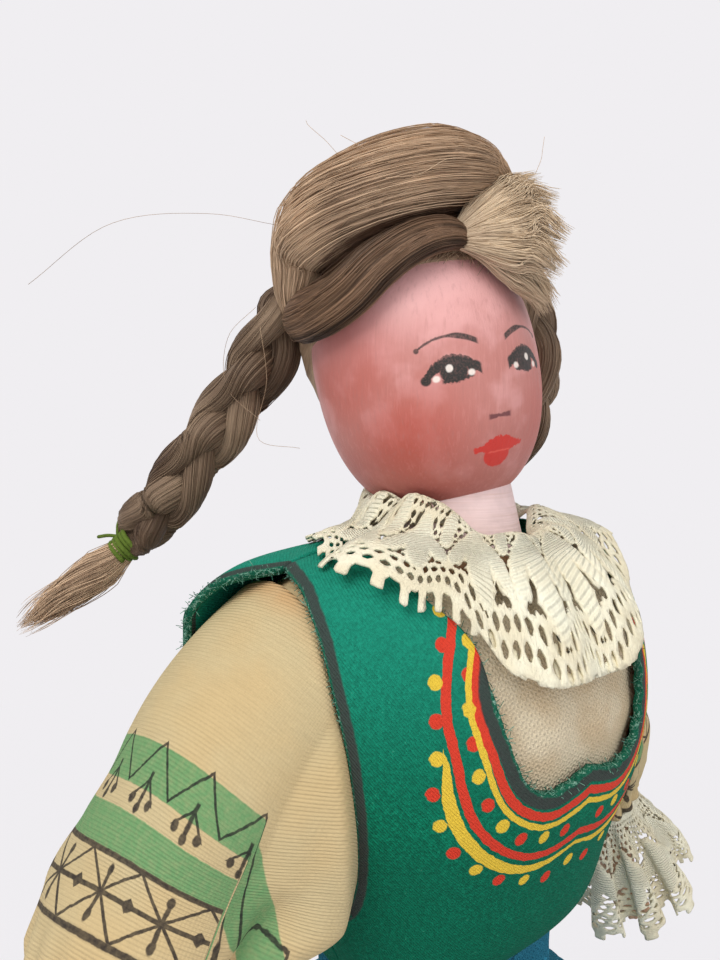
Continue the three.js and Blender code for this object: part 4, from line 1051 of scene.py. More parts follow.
# Hair
def lock(line, radius, seed, hairs, flat=1.0, twist=0.0, lift=0.5, spread=0.0, shade=0.45, root=0.0,
         painted_shade=0.0, painted_shade_at=0.0):
    """A combed lock: a ridged tube along a line, thicker across than outwards, with single hairs laid
    along it; each hair keeps its own place round the lock and strays a little. The shade sets how dark
    the wool is, partly its own colour and partly painted light and shade; the root makes it darker where
    the lock starts, and the last two arguments paint shade along one side of it."""
    rng = np.random.default_rng(seed)
    places = len(line)
    share = np.linspace(0, 1, places)
    along = unit(np.gradient(line, axis=0))
    outward = line - HEAD_CENTRE
    outward = unit(outward - (outward * along).sum(-1, keepdims=True) * along)
    aside = np.cross(outward, along)
    turn = 2 * np.pi * np.arange(LOCK_COLUMNS) / LOCK_COLUMNS
    ridges = np.zeros((places, LOCK_COLUMNS))
    for beat in RIDGE_BEATS:
        drift = rng.uniform(-1, 1) * share[:, None] * 2
        ridges += rng.uniform(0.4, 1) * np.sin(beat * turn + rng.uniform(0, 6) + drift)
    core = radius * (1 - 0.85 * min(spread, 1) * smooth(0.45, 1.0, share))
    size = core[:, None] * (1 + 0.014 * ridges)
    moved = turn + twist * share[:, None]
    grid = line[:, None] + size[..., None] * (
        np.cos(moved)[..., None] * aside[:, None] + flat * np.sin(moved)[..., None] * outward[:, None]
    )
    run = run_of(line)[:, None]
    # Painted light and shade: the shade value and a darker root set how dark the lock is.
    lock_tone_and_shade = shade - root * (1 - smooth(0, 0.5, share))
    body = solid_of(grid[:, ::-1], lock_around=(turn * radius.max())[None, ::-1] + seed * 17.0,
                    lock_along=np.broadcast_to(run, (places, LOCK_COLUMNS)),
                    tone=lock_tone_and_shade[:, None] - painted_shade * smooth(0.78, 1.0, np.cos(moved[:, ::-1] - painted_shade_at)))
    kept = np.linspace(0, places - 1, places // 2).round().astype(int)
    line, radius, share, run = line[kept], radius[kept], share[kept], run[kept, 0]
    aside, outward = aside[kept], outward[kept]
    start = rng.uniform(0, 2 * np.pi, (hairs, 1))
    stray = rng.normal(0, 0.13, (hairs, 1)) * np.sin(share * rng.uniform(2, 7, (hairs, 1)) + start)
    place = start + twist * share + stray
    wave = rng.uniform(0, 6, (hairs, 1)) + share * rng.uniform(4, 12, (hairs, 1))
    loose = rng.random((hairs, 1))
    high = lift * (0.05 * loose ** 3 + 0.12 * loose ** 24) * np.sin(np.pi * share) ** 0.6
    high = 1.0 + 0.03 * np.sin(wave) + high
    out = np.maximum(0, share - 0.55)[None] * spread * rng.normal(0, 1, (hairs, 1))
    size = (radius * high + out)[..., None]
    paths = line + size * (np.cos(place)[..., None] * aside + flat * np.sin(place)[..., None] * outward)
    ragged = rng.uniform(-1.6, 0.7, (hairs, 1)) * spread * share ** 4
    paths = paths + ragged[..., None] * along[kept]
    # Each hair is darker on the same side as the lock, as painted shade, and otherwise differs at random.
    tone = lock_tone_and_shade[kept] - 0.45 + rng.random((hairs, 1)) - painted_shade * smooth(0.78, 1.0, np.cos(place - painted_shade_at))
    thin = sizes("hair_thickness") * (1 - 0.75 * share ** 6)
    around = rng.uniform(0, 90, (hairs, 1)) + 0 * share
    fine = threads(paths, thin[None], 3, tone=tone, lock_around=around,
                   lock_along=np.broadcast_to(run, (hairs, len(kept))))
    return joined(body, fine)


def hair_cap():
    """Hair over the skull: a shell outside the egg, down to the brow in front and to the nape behind,
    combed from a parting at the back up to both braids; under the roll it is painted darker, as shade."""
    angle = np.linspace(-180, 180, 160, endpoint=False)[None, :]
    share = np.linspace(0, 1, 40)[:, None]
    turn = np.radians(angle)
    hairline = np.interp(angle, HAIRLINE[:, 0], HAIRLINE[:, 1])
    rise = np.sin(mix(np.arcsin(hairline), np.radians(88.5), share))
    behind = smooth(95, 140, np.abs(angle))
    comb = rise * 22 - (180 - np.abs(angle)) * 0.15
    ridges = (0.009 * np.sin(comb * 2.3) + 0.006 * np.sin(comb * 5.1 + 1)) * behind
    parting = 0.05 * np.exp(-((180 - np.abs(angle)) / 5) ** 2)
    thick = 0.035 + 0.1 * behind * smooth(-0.1, 0.4, rise) + 0.09 * smooth(0.8, 0.95, rise)
    thick = thick + 0.1 * (1 - behind) * smooth(0.56, 0.7, rise)
    reach = 1.015 + (thick + ridges) * smooth(0, 0.12, share) - parting * smooth(0.05, 0.2, share)
    grid = from_head(head_point(angle, rise, reach))
    # Painted shade: the cap darkens where it lies in the crevice under the crown roll.
    hidden = (1 - behind) * smooth(-0.05, 0.1, share) * (1 - smooth(60, 85, angle))
    return solid_of(grid, lock_around=comb * 0.5, tone=0.4 - 1.1 * hidden,
                    lock_along=np.broadcast_to(angle * 0.35, comb.shape))


def crown_roll():
    """The big roll: swept up from the right temple over the crown to the knot."""
    line = head_line([-118, -111, -100, -75, -39, 0, 28, 32],
                     [0.42, 0.58, 0.71, 0.76, 0.78, 0.79, 0.74, 0.66],
                     [1.12, 1.14, 1.18, 1.25, 1.3, 1.33, 1.39, 1.4], LOCK_PLACES)
    share = np.linspace(0, 1, LOCK_PLACES)
    radius = np.interp(share, [0, 0.07, 0.17, 0.34, 0.54, 0.76, 0.93, 1],
                       [3.4, 5.4, 7.2, 8.6, 8.0, 8.0, 5.0, 2.8])
    # Painted light and shade: the roll's wool is set lighter on the crown and darker along its underside.
    return lock(line, radius, seed=3, hairs=1080, flat=0.8, twist=0.9, lift=1.2, shade=0.6, painted_shade=1.3,
                painted_shade_at=4.2)


def brow_hank():
    """The hank under the roll, from the right ear along the hairline to the knot."""
    line = head_line([-114, -96, -80, -64, -50, -35, -21, -8, 8],
                     [0.43, 0.375, 0.35, 0.375, 0.46, 0.525, 0.55, 0.55, 0.5],
                     [1.14, 1.12, 1.12, 1.13, 1.14, 1.15, 1.16, 1.13, 1.04], LOCK_PLACES)
    share = np.linspace(0, 1, LOCK_PLACES)
    radius = np.interp(share, [0, 0.15, 0.3, 0.45, 0.58, 0.7, 0.82, 0.92, 1],
                       [3.4, 4.5, 4.6, 4.3, 3.9, 3.6, 3.2, 2.3, 0.8])
    # Painted shade: the hank's wool is set darker, and darker still along its lower edge under the roll.
    return lock(line, radius, seed=5, hairs=760, flat=0.72, twist=-0.6, lift=1.2, shade=0.4, painted_shade=0.8,
                painted_shade_at=3.3)


def knot_tuft():
    """The pale cut end: six locks that leave the knot under the roll and fan open."""
    fans = (
        ((-12, 8, 27, 32), (0.55, 0.6, 0.62, 0.57), (1.12, 1.28, 1.42, 1.57), 3.2),
        ((-12, 6, 26, 30), (0.545, 0.54, 0.54, 0.46), (1.12, 1.28, 1.45, 1.58), 3.8),
        ((-12, 4, 20, 24), (0.54, 0.47, 0.42, 0.31), (1.11, 1.25, 1.42, 1.53), 4.2),
        ((-11, 4, 15, 18), (0.53, 0.42, 0.31, 0.2), (1.1, 1.2, 1.34, 1.44), 4.0),
        ((-8, 8, 17, 20), (0.52, 0.4, 0.25, 0.12), (1.09, 1.13, 1.2, 1.27), 3.2),
        ((3, 17, 27, 33), (0.49, 0.38, 0.25, 0.12), (1.1, 1.13, 1.16, 1.17), 2.6),
    )
    share = np.linspace(0, 1, TUFT_PLACES)
    swell = mix(0.25, 1.0, smooth(0, 0.6, share)) * (1 - 0.45 * smooth(0.72, 1.0, share))
    locks = []
    for number, (angles, rises, reaches, width) in enumerate(fans):
        line = head_line(angles, rises, reaches, TUFT_PLACES)
        # Painted light and shade: upper locks are set lighter than lower ones, and each root darker where
        # it leaves the knot under the roll.
        locks.append(lock(line, width * swell, seed=8 + number, hairs=280, flat=0.7, lift=1.4, spread=1.9,
                          shade=0.85 - 0.12 * number, root=0.75))
    return joined(*locks)


def braid_line(side):
    """Middle line of a braid, from its root on the head to the tail's end."""
    return head_path(*BRAID_ROUTES[side], BRAID_PLACES)


def line_axes(line):
    """Directions across a line, one level and one over it."""
    along = unit(np.gradient(line, axis=0))
    level = unit(np.cross(along, np.array([0.35, -0.6, 0.72])))
    return along, level, np.cross(level, along)


def plait(side):
    """Three locks that swap places: each swings from side to side as a sine, and over and under at
    twice that beat, a third of a turn behind the one before it."""
    whole = braid_line(side)
    line = whole[: int(BRAID_PLACES * (PLAIT_SHARE + 0.02))]
    share = np.linspace(0, 1, len(line))
    along, level, over = line_axes(line)
    length = run_of(line)[-1]
    beats = length / PLAIT_BEAT
    narrow = mix(1.0, 0.45, smooth(0.9, 0.99, share)) * mix(1.12, 0.9, share)
    narrow = narrow * mix(0.45, 1.0, smooth(0, 0.09, share))
    first_seed = 27 if side == "left" else 20
    shapes = []
    for strand in range(3):
        phase = 2 * np.pi * (beats * share + strand / 3)
        swing = 3.3 * narrow * np.sin(phase)
        rise = 1.9 * narrow * np.sin(2 * phase)
        middle = line + swing[:, None] * level + rise[:, None] * over
        radius = sizes("lock_radius") * narrow * (1 + 0.08 * np.cos(2 * phase))
        shapes.append(lock(middle, radius, seed=first_seed + strand, hairs=85, flat=0.86, twist=1.6,
                           lift=1.0, shade=(0.5, 0.05, 0.3)[strand]))
    return joined(*shapes)


def braid_tie(side):
    """Thread wound four times round the braid, with two short ends."""
    whole = braid_line(side)
    at = int(BRAID_PLACES * PLAIT_SHARE)
    along, level, over = line_axes(whole)
    wind = np.linspace(0, TIE_WINDINGS, TIE_PLACES)
    turn = 2 * np.pi * wind
    rng = np.random.default_rng(4)
    out = 2.4 + 0.25 * np.sin(3.1 * wind) + 0.15 * rng.random(TIE_PLACES)
    spot = whole[at] + along[at] * ((wind / TIE_WINDINGS - 0.5) * 3.6)[:, None]
    coil = spot + out[:, None] * (np.cos(turn)[:, None] * level[at] + np.sin(turn)[:, None] * over[at])
    ends = []
    for lean in (-0.5, 0.7):
        start = whole[at] + level[at] * 2.6
        ends.append(route([start, start + level[at] * 1.6 + along[at] * lean * 2 - over[at] * 0.6,
                           start + level[at] * 3.4 + along[at] * lean * 5 - over[at] * 2.2], 14))
    return joined(threads(coil[None], 0.46, 7), threads(np.stack(ends), 0.34, 6))


def braid_tail(side):
    """Loose end of the braid: a core that thins out and hairs that spread past it."""
    whole = braid_line(side)
    line = route(whole[int(BRAID_PLACES * (PLAIT_SHARE - 0.015))::4], TAIL_PLACES)
    share = np.linspace(0, 1, TAIL_PLACES)
    radius = np.interp(share, [0, 0.08, 0.3, 0.6, 0.9, 1], [2.2, 2.5, 3.7, 3.1, 1.7, 0.7])
    seed = 41 if side == "right" else 44
    return lock(line, radius, seed, hairs=260, flat=0.8, twist=0.5, lift=1.8, spread=2.6)


def stray_hairs():
    """Single long hairs that stand off the roll in loose arcs, each a curve through four places, and
    short wisps over the brow."""
    loops = (
        ((-112, 0.72, 1.5), (-9, 7, 5), (-24, 16, 7), (-38, 26, 0)),
        ((-60, 0.86, 1.45), (-2, 1, 4), (-4, 2, 7), (-3, 4, 9)),
        ((-118, 0.4, 1.5), (-5, 3, -4), (-7, 4, -13), (-3, 2, -20)),
        ((-110, 0.3, 1.45), (0, 2, -9), (-3, 4, -19), (3, 1, -22)),
        ((32, 0.58, 1.62), (1, -1, 2), (2, -1, 4), (3, -1, 6)),
        ((-50, 0.74, 1.72), (6, -2.5, -5), (12, -4, -9.5), (17, -4, -11)),
        ((-8, 0.6, 1.62), (-5, -1, -1), (-10, -0.5, -3), (-15, 1, -3)),
    )
    paths = np.stack([head_path(root, steps, STRAY_PLACES) for root, *steps in loops])
    tone = np.broadcast_to(np.linspace(0.2, 1, len(loops))[:, None], (len(loops), STRAY_PLACES))
    none = 0.0 * tone
    loose = threads(paths, STRAY_RADIUS, 3, tone=tone, lock_around=none, lock_along=none)
    rng = np.random.default_rng(6)
    start, drift = rng.uniform(-20, 26, (WISPS, 1)), rng.uniform(-20, 12, (WISPS, 1))
    run = np.linspace(0, 1, 9)
    rise = np.interp(start, [-20, 26], [0.6, 0.46]) + rng.uniform(-0.01, 0.06, (WISPS, 1))
    rise = rise - rng.uniform(0.03, 0.13, (WISPS, 1)) * run ** 1.4
    wisps = from_head(head_point(start + drift * run, rise, 1.06 - 0.035 * run))
    tone = np.broadcast_to(rng.random((WISPS, 1)), (WISPS, len(run)))
    short = threads(wisps, STRAY_RADIUS, 3, tone=tone, lock_around=tone * 60, lock_along=tone * 9)
    return joined(loose, short)


# Vest and blouse
def edge_line(lower, upper, rows):
    """An edge over angle and run: straight for the first third of its rows, then a curve."""
    low = np.array([(angle, run_at(share)) for angle, share in lower])
    third = rows // 3
    return np.concatenate([np.linspace(low[0], low[1], third + 1)[:-1], edge_route(upper, rows - third)])


def panel(first, second, columns):
    """Angles and runs between two edges, row by row."""
    share = np.linspace(0, 1, columns)[None, :, None]
    places = mix(first[:, None], second[:, None], share)
    return places[..., 0], places[..., 1]


def flare_at(share, front):
    """How far the armhole's stiff edge stands out, from its foot to the shoulder."""
    front_edge, back_edge = [0, 1, 1.2, 1.4, 1.6, 2.2, 3], [0, 4, 9.5, 12.5, 12.5, 9, 3]
    return np.interp(share, [0, 0.25, 0.45, 0.62, 0.78, 0.9, 1], front_edge if front else back_edge)


def trim_close(along):
    """How widely the trim's lines are spread: fully round the notch, closer beside the neck."""
    return np.interp(along, [8, 13, 20, 32], [1.0, 0.9, 0.8, 0.6])


def dot_row(points, gap, along, spread, start, pitch, first, reach):
    """Gaps from the even and from the odd dots of a row. The row follows the neckline at a distance,
    and its dots stand a pitch apart, counted from the notch."""
    runs = np.arange(0, reach, 0.5)[:, None]
    away = trim_close(runs) * spread + start * (1 - smooth(19, 28, runs))
    off = np.abs(along.ravel() - runs) + np.abs(gap.ravel() - away)
    line = points.reshape(-1, 3)[off.argmin(1)][::8]
    run = run_of(line)
    places = np.arange(first, run[-1] / pitch).astype(int)
    dots = np.stack([np.interp(places * pitch, run, line[:, axis]) for axis in range(3)], -1)
    gaps = np.linalg.norm(points[..., None, :] - dots, axis=-1)
    return gaps[..., places % 2 == 0].min(-1), gaps[..., places % 2 == 1].min(-1)


def vest_half(neckline, middle, hem, armhole, seam, trimmed):
    """Half of a vest panel on the torso's outline. Near the armhole it stands off the body, and each
    point keeps its gap from the neckline and from the armhole."""
    rows, columns = 132, 78
    first = edge_line([(middle, hem), neckline[0]], neckline, rows)
    second = edge_line([(seam, HEM_SIDE), armhole[0]], armhole, rows)
    angle, run = panel(first, second, columns)
    flat = outline(angle, run)
    third = rows // 3
    guide = flat[third:, 0]
    if trimmed:
        line = edge_route(TRIM_GUIDE, 160)
        guide = outline(line[:, 0], line[:, 1])
    gap, along = nearest(flat, guide)
    arm_gap, arm_along = nearest(flat, flat[third:, -1])
    arm_share = arm_along / arm_along.max()
    stand = flare_at(arm_share, trimmed) * (1 - smooth(0, 9 if trimmed else 19, arm_gap))
    worn = 0.2 * np.sin(along * 1.7) * (1 - smooth(0, 2, gap))
    points = on_body(angle, run, worn) + stand[..., None] * FLARE_WAY
    fields = {"trim_gap": gap, "trim_run": along, "trim_close": trim_close(along), "arm_gap": arm_gap,
              "has_trim": float(trimmed)}
    if trimmed:
        inner = dot_row(flat, gap, along, spread=6.9, start=1.2, pitch=4.9, first=1, reach=42)
        outer = dot_row(flat, gap, along, spread=14.6, start=2.3, pitch=5.4, first=0, reach=58)
        fields["dot_yellow"], fields["dot_red"] = np.minimum(inner, outer)
    return sheet_of(points, **fields)


def both_halves(half, front):
    """Half a panel and its mirror image as one sheet that faces outwards."""
    if not front:
        half.faces = [group[:, ::-1] for group in half.faces]
    return joined(half, half.mirrored()).welded()


def vest_panel(front):
    """Both halves of the vest's front or back."""
    if front:
        half = vest_half(SWEETHEART, 0, HEM_FRONT, FRONT_ARMHOLE, FRONT_SEAM, True)
    else:
        half = vest_half(BACK_NECKLINE, 180, HEM_SIDE, BACK_ARMHOLE, BACK_SEAM, False)
    return both_halves(half, front)


def frayed_edges():
    """Short wool fibres that stick out along the vest's armholes and neckline."""
    rng = np.random.default_rng(15)
    shapes = []
    count = FRAY_COUNT
    for edge, inward in ((SWEETHEART, -1), (FRONT_ARMHOLE, 1), (BACK_ARMHOLE, -1)):
        places = edge_route(edge, FRAY_PLACES)
        pick = rng.integers(4, FRAY_PLACES - 4, count)
        angle, run = places[pick, 0], places[pick, 1]
        root = on_body(angle, run, -rng.uniform(0, 1.3, count))
        if edge is not SWEETHEART:
            stand = flare_at(pick / (FRAY_PLACES - 1), edge is FRONT_ARMHOLE)
            root = root + stand[:, None] * FLARE_WAY
        aside = unit(on_body(angle + inward * 1.5, run, 0 * run) - on_body(angle, run, 0 * run))
        way = unit(aside * 0.8 + rng.normal(0, 0.75, (count, 3)))
        curl = rng.normal(0, 0.5, (count, 3))
        share = np.linspace(0, 1, 5)[:, None]
        reach = rng.uniform(0.3, 1.0, (count, 1, 1))
        paths = root[:, None] + reach * (way[:, None] * share + curl[:, None] * share ** 2)
        shapes.append(threads(paths, 0.06, 3))
    both = joined(*shapes)
    return joined(both, both.mirrored())


def fray_wool():
    """Pulled wool fibres, pale green to white."""
    f = Finish("fray_wool", 0.95)
    pick = f.noise(f.place(), 0.9, 2.0)
    return f.done(f.blend(pick.over(0.5, 0.3), display(14, 74, 56), display(120, 168, 148)))


def blouse_panel(front):
    """Both halves of the blouse under the vest, with soft creases across the bib."""
    rows, columns = 96, 60
    if front:
        first = edge_line([(0, HEM_FRONT), BLOUSE_NECKLINE[0]], BLOUSE_NECKLINE, rows)
        second = edge_line([(FRONT_SEAM, HEM_SIDE), FRONT_ARMHOLE[0]], FRONT_ARMHOLE, rows)
    else:
        first = edge_line([(180, HEM_SIDE), BLOUSE_BACK_NECKLINE[0]], BLOUSE_BACK_NECKLINE, rows)
        second = edge_line([(BACK_SEAM, HEM_SIDE), BACK_ARMHOLE[0]], BACK_ARMHOLE, rows)
    angle, run = panel(first, second, columns)
    turn = np.radians(angle)
    creases = 0.28 * np.sin(run * 0.5 + turn * 2) + 0.25 * np.sin(turn * 9 + run * 0.1)
    half = sheet_of(on_body(angle, run, -BLOUSE_DEPTH + creases * smooth(0, 12, angle % 180)))
    return both_halves(half, front)


def armhole_gusset(side):
    """Blouse cloth inside an armhole: rings from under the armhole's edge to its middle, that rise to
    the torso's outline and sink again where the sleeve's own ring covers them."""
    rows, columns = 34, 128
    front = edge_route(FRONT_ARMHOLE, columns // 2 + 1)
    back = edge_route(BACK_ARMHOLE[::-1], columns // 2 + 1)
    rim = np.concatenate([front[:-1], back[:-1]])
    middle = np.array([90, run_at(0.63)])
    share = np.linspace(0, 0.9, rows)[:, None, None]
    places = mix(rim[None] + (rim[None] - middle) * 0.12, middle, share)
    angle, run = places[..., 0], places[..., 1]
    level = outline(angle, run)
    centre = hinge(1)
    arm = np.hypot(level[..., 1] - centre[1], level[..., 2] - centre[2])
    inwards = share[..., 0]
    folds = 0.35 * np.sin(np.arange(columns) * 0.42) * smooth(0.08, 0.3, inwards)
    offset = mix(-1.9, -0.5, smooth(0.04, 0.3, inwards)) + folds - 3.2 * (1 - smooth(13, 17, arm))
    points = on_body(angle, run, offset)
    upper = smooth(0.5, 0.75, (points[..., 2] - TORSO_FOOT) / TORSO_HEIGHT)
    # The cloth just under the armhole's upper edge is marked for orange-brown stain and painted shade.
    fields = {
        "print_around": points[..., 2], "print_down": -8 + 0 * run, "rib_down": points[..., 2],
        "seam_stain_and_shade": (1 - smooth(0.06, 0.26, inwards + 0 * run)) * upper,
    }
    fields = {name: values[:, ::-1] for name, values in fields.items()}
    shape = sheet_of(points[:, ::-1], True, **fields)
    return shape if side > 0 else shape.mirrored()


def within_outline(points):
    """How far out points lie from the torso's axis: 1 is on the superellipse at their height."""
    run = run_at((points[..., 2] - TORSO_FOOT) / TORSO_HEIGHT)
    half, front, back = np.moveaxis(cubic(RUNS, BODY, run)[..., 1:], -1, 0)
    depth = np.where(points[..., 1] < 0, front, back)
    total = (np.abs(points[..., 0]) / half) ** BODY_SQUARENESS
    total = total + (np.abs(points[..., 1]) / depth) ** BODY_SQUARENESS
    return total ** (1 / BODY_SQUARENESS)


def tucked_under(points):
    """Sleeve cloth that meets the vest. Seen from the doll's front corner, cloth past the armhole's
    front edge moves straight back until it lies under the felt; the way back is found by halving."""
    edge = edge_route(FRONT_ARMHOLE, 120)
    rim = outline(edge[:, 0], edge[:, 1])
    past = points @ CORNER_OUT - np.interp(points[..., 2], rim[:, 2], rim @ CORNER_OUT)
    low, high = np.zeros(points.shape[:-1]), np.full(points.shape[:-1], 16.0)
    for _ in range(12):
        half_way = (low + high) / 2
        outside = within_outline(points - half_way[..., None] * CORNER_AHEAD) > UNDER_FELT
        low, high = np.where(outside, half_way, low), np.where(outside, high, half_way)
    back = np.where(within_outline(points) > UNDER_FELT, high, 0) * smooth(-2.6, -0.4, past)
    return points - back[..., None] * CORNER_AHEAD


def sleeve(side):
    """Puffed sleeve: at each angle round the arm a curve leaves the shoulder's ring and joins a tube
    that is gathered at the wrist. Folds are added to the tube's radius, and a pouch pushes the front
    of the armpit towards the vest."""
    way, outside, ahead = arm_axes(1)
    centre = hinge(1)
    fullness = 0.84 if side > 0 else 1.0
    rows, columns = 130, 200
    degrees = np.linspace(180, -180, columns, endpoint=False)[None, :]
    turn = np.radians(degrees)
    cosine, sine = np.cos(turn), np.sin(turn)
    share = np.linspace(0, 1, rows)[:, None]
    split = 0.34
    t = np.clip(share / split, 0, 1)
    join_at = mix(10.0, 30.0, (1 - cosine) / 2)
    down = join_at + (SLEEVE_LENGTH - join_at) * np.clip((share - split) / (1 - split), 0, 1)
    travelled = np.where(share > split, down, join_at * t)
    radius = np.interp(down, [0, 12, 26, 36, 45, 52, 55, 58], [15.6, 16.2, 16.2, 16.1, 14.2, 10.2, 9, 9])
    slack = np.maximum(0, np.cos(turn + 0.7)) * (1 - smooth(26, 36, down))
    radius = mix(WRIST_RADIUS, radius, fullness) - 1.9 * slack
    crease = np.exp(-((degrees - 99) / 7) ** 2) * smooth(20, 30, down) * (1 - smooth(50, 56, down))
    gathers = 0.75 * np.sin(17 * turn + 1.5 * np.sin(2 * turn)) * smooth(34, 54, down)
    soft = 0.6 * np.sin(3 * turn + 0.06 * down + 2.1) * np.sin(np.pi * down / SLEEVE_LENGTH)
    drag = 0.35 * np.sin(0.33 * down + 2.0 * turn) * smooth(8, 20, down) * (1 - smooth(44, 54, down))
    radius = radius + gathers + soft + drag - 4.2 * crease
    flatter = mix(1.0, 0.8, smooth(0, 0.5, sine)) if side > 0 else 1.0
    radial = outside * cosine[..., None] + ahead * (sine * flatter)[..., None]
    tube = centre + way * down[..., None] + radial * radius[..., None]
    at_join = np.argmax(share > split)
    joins = tube[at_join]
    ring = points_of(SLEEVE_ROOT, centre[1] - SLEEVE_RING * sine[0], centre[2] + SLEEVE_RING * cosine[0])
    span = np.linalg.norm(joins - ring, axis=-1, keepdims=True)
    leave = (0.8 * unit(joins - ring) + np.array([0.3, 0, 0])) * span
    h = t[..., None]
    curve = (ring * (1 + 2 * h) * (1 - h) ** 2 + leave * h * (1 - h) ** 2
             + joins * h * h * (3 - 2 * h) - way * span * h * h * (1 - h))
    points = np.where((share > split)[..., None], tube, curve)
    near = np.clip((degrees - 128) / 42, -1, 1)
    pouch = 11.6 * np.cos(near * np.pi / 2) ** 1.2 * (1 - smooth(28, 41, travelled))
    points = tucked_under(points + pouch[..., None] * POUCH_WAY)
    steps = np.linalg.norm(np.diff(points, axis=0), axis=-1)
    runs = np.concatenate([np.zeros((1, columns)), np.cumsum(steps, axis=0)])
    printed = np.where(share > split, down, join_at - (runs[at_join] - runs)) + 0.8
    upper_tilt = 3.0 * np.cos(np.radians(np.minimum(np.abs(1.7 * (degrees - 28)), 90)))
    lower_tilt = 0.7 + 4.7 * np.cos(turn - 1.05)
    printed = printed + mix(upper_tilt, lower_tilt, smooth(14, 34, printed))
    sideways = points @ CORNER_OUT
    turned_under = 13.5 + 0.95 * (0.21 * (194 - points[..., 2]) - 27.8 - sideways)
    # The top of the sleeve's outer side, under the vest's armhole edge, is marked for orange-brown stain
    # and painted shade.
    fields = {
        "print_around": np.broadcast_to(turn * SLEEVE_RADIUS, printed.shape),
        "print_down": np.minimum(printed, np.where(np.abs(degrees) < 80, 99, turned_under)),
        "rib_down": printed, "seam_stain_and_shade": (1 - smooth(1, 6, runs)) * smooth(-0.2, 0.4, cosine),
    }
    shape = sheet_of(points, True, **fields)
    return shape if side > 0 else shape.mirrored()


# Lace
def lace_pattern(x, y, width, pitch):
    """How far inside the thread a place of the flat lace lies: a net of staggered round holes, a fan of
    woven leaves over each scallop, two rows of larger holes and an edge of fingers."""
    step, row_height = pitch / 8, pitch / 8 * 0.86
    row = np.floor(y / row_height)
    u = ((x / step + 0.5 * (row % 2)) % 1 - 0.5) * step
    v = (y / row_height - row - 0.5) * row_height
    cloth = np.hypot(u, v) - 0.5
    across = (x / pitch) % 1 * pitch - pitch / 2
    leaf = np.full(x.shape, -9.0)
    for side, up, lean, long, wide in LACE_LEAVES:
        turn = np.radians(lean)
        dx, dy = across - side, y - up * width
        lx = dx * np.cos(turn) - dy * np.sin(turn)
        ly = dx * np.sin(turn) + dy * np.cos(turn)
        leaf = np.maximum(leaf, wide * (1 - np.hypot(lx / wide, ly / long)))
    rim_hole = np.maximum(np.abs(leaf + 0.6) - 0.26, 0.35 - np.abs(u))
    cloth = np.maximum(np.minimum(cloth, rim_hole), leaf)
    scallop = width - 2.6 + 1.2 * np.cos(np.pi * across / pitch) ** 2
    mesh_step = pitch / 7
    mesh_row = np.floor((scallop - y) / (mesh_step * 0.9))
    mu = ((x / mesh_step + 0.5 * (mesh_row % 2)) % 1 - 0.5) * mesh_step
    mv = ((scallop - y) / (mesh_step * 0.9) - mesh_row - 0.5) * mesh_step * 0.9
    edge_net = np.hypot(mu, mv) - 0.66
    cloth = np.where((mesh_row >= 1) & (mesh_row <= 2), np.maximum(edge_net, leaf), cloth)
    finger_step = pitch / 4
    fu = (x / finger_step % 1 - 0.5) * finger_step
    finger = np.minimum(0.62 - np.abs(fu), scallop + 1.2 - y)
    binding = 0.45 - np.abs(y - scallop + mesh_step * 0.7)
    cloth = np.where(mesh_row < 1, np.maximum(finger, binding), cloth)
    return np.maximum(cloth, 1.3 - y), smooth(-0.1, 0.3, leaf)


def lace_strip(scallops, width, place):
    """Lace cut from a fine grid: points near an edge of the thread move on to it, and cells in the
    holes are left out."""
    pitch = sizes("lace_scallop")
    length = scallops * pitch
    cell = LACE_CELL
    columns, rows = int(length / cell), int((width + 1) / cell)
    x, y = np.meshgrid(np.arange(columns) * length / columns, np.linspace(0, width, rows))
    cloth, leaf = lace_pattern(x, y, width, pitch)
    fall_y, fall_x = np.gradient(cloth, y[1, 0] - y[0, 0], x[0, 1] - x[0, 0])
    slope = np.maximum(fall_x ** 2 + fall_y ** 2, 0.2)
    near = np.abs(cloth) < 0.62 * cell * np.sqrt(slope)
    shift = np.where(near, cloth / slope, 0)
    x = x - np.clip(shift * fall_x, -0.5 * cell, 0.5 * cell)
    y = np.maximum(0, y - np.clip(shift * fall_y, -0.5 * cell, 0.5 * cell))
    inside = (np.where(near, 0, cloth) >= 0).ravel()
    corners = cells(rows, columns, True)
    held = inside[corners]
    quads = corners[held.all(1)]
    partial = held.sum(1) == 3
    order = (held[partial].argmin(1)[:, None] + [1, 2, 3]) % 4
    triangles = np.take_along_axis(corners[partial], order, 1)
    used, back = np.unique(np.concatenate([quads.ravel(), triangles.ravel()]), return_inverse=True)
    points = place(x, y, length, leaf).reshape(-1, 3)[used]
    faces = [back[: quads.size].reshape(-1, 4), back[quads.size:].reshape(-1, 3)]
    strip = Shape(points, faces, lace_around=x.ravel()[used], lace_down=y.ravel()[used],
                  leaf=leaf.ravel()[used])
    cell_area = (length / columns) * (width / (rows - 1))
    return strip, (len(quads) + len(triangles) / 2) * cell_area * MM * MM


def collar_edge(angle):
    """Run at which the collar ends at an angle."""
    line = edge_route(COLLAR_EDGE, 400)
    return np.interp(angle, line[:, 0], line[:, 1])


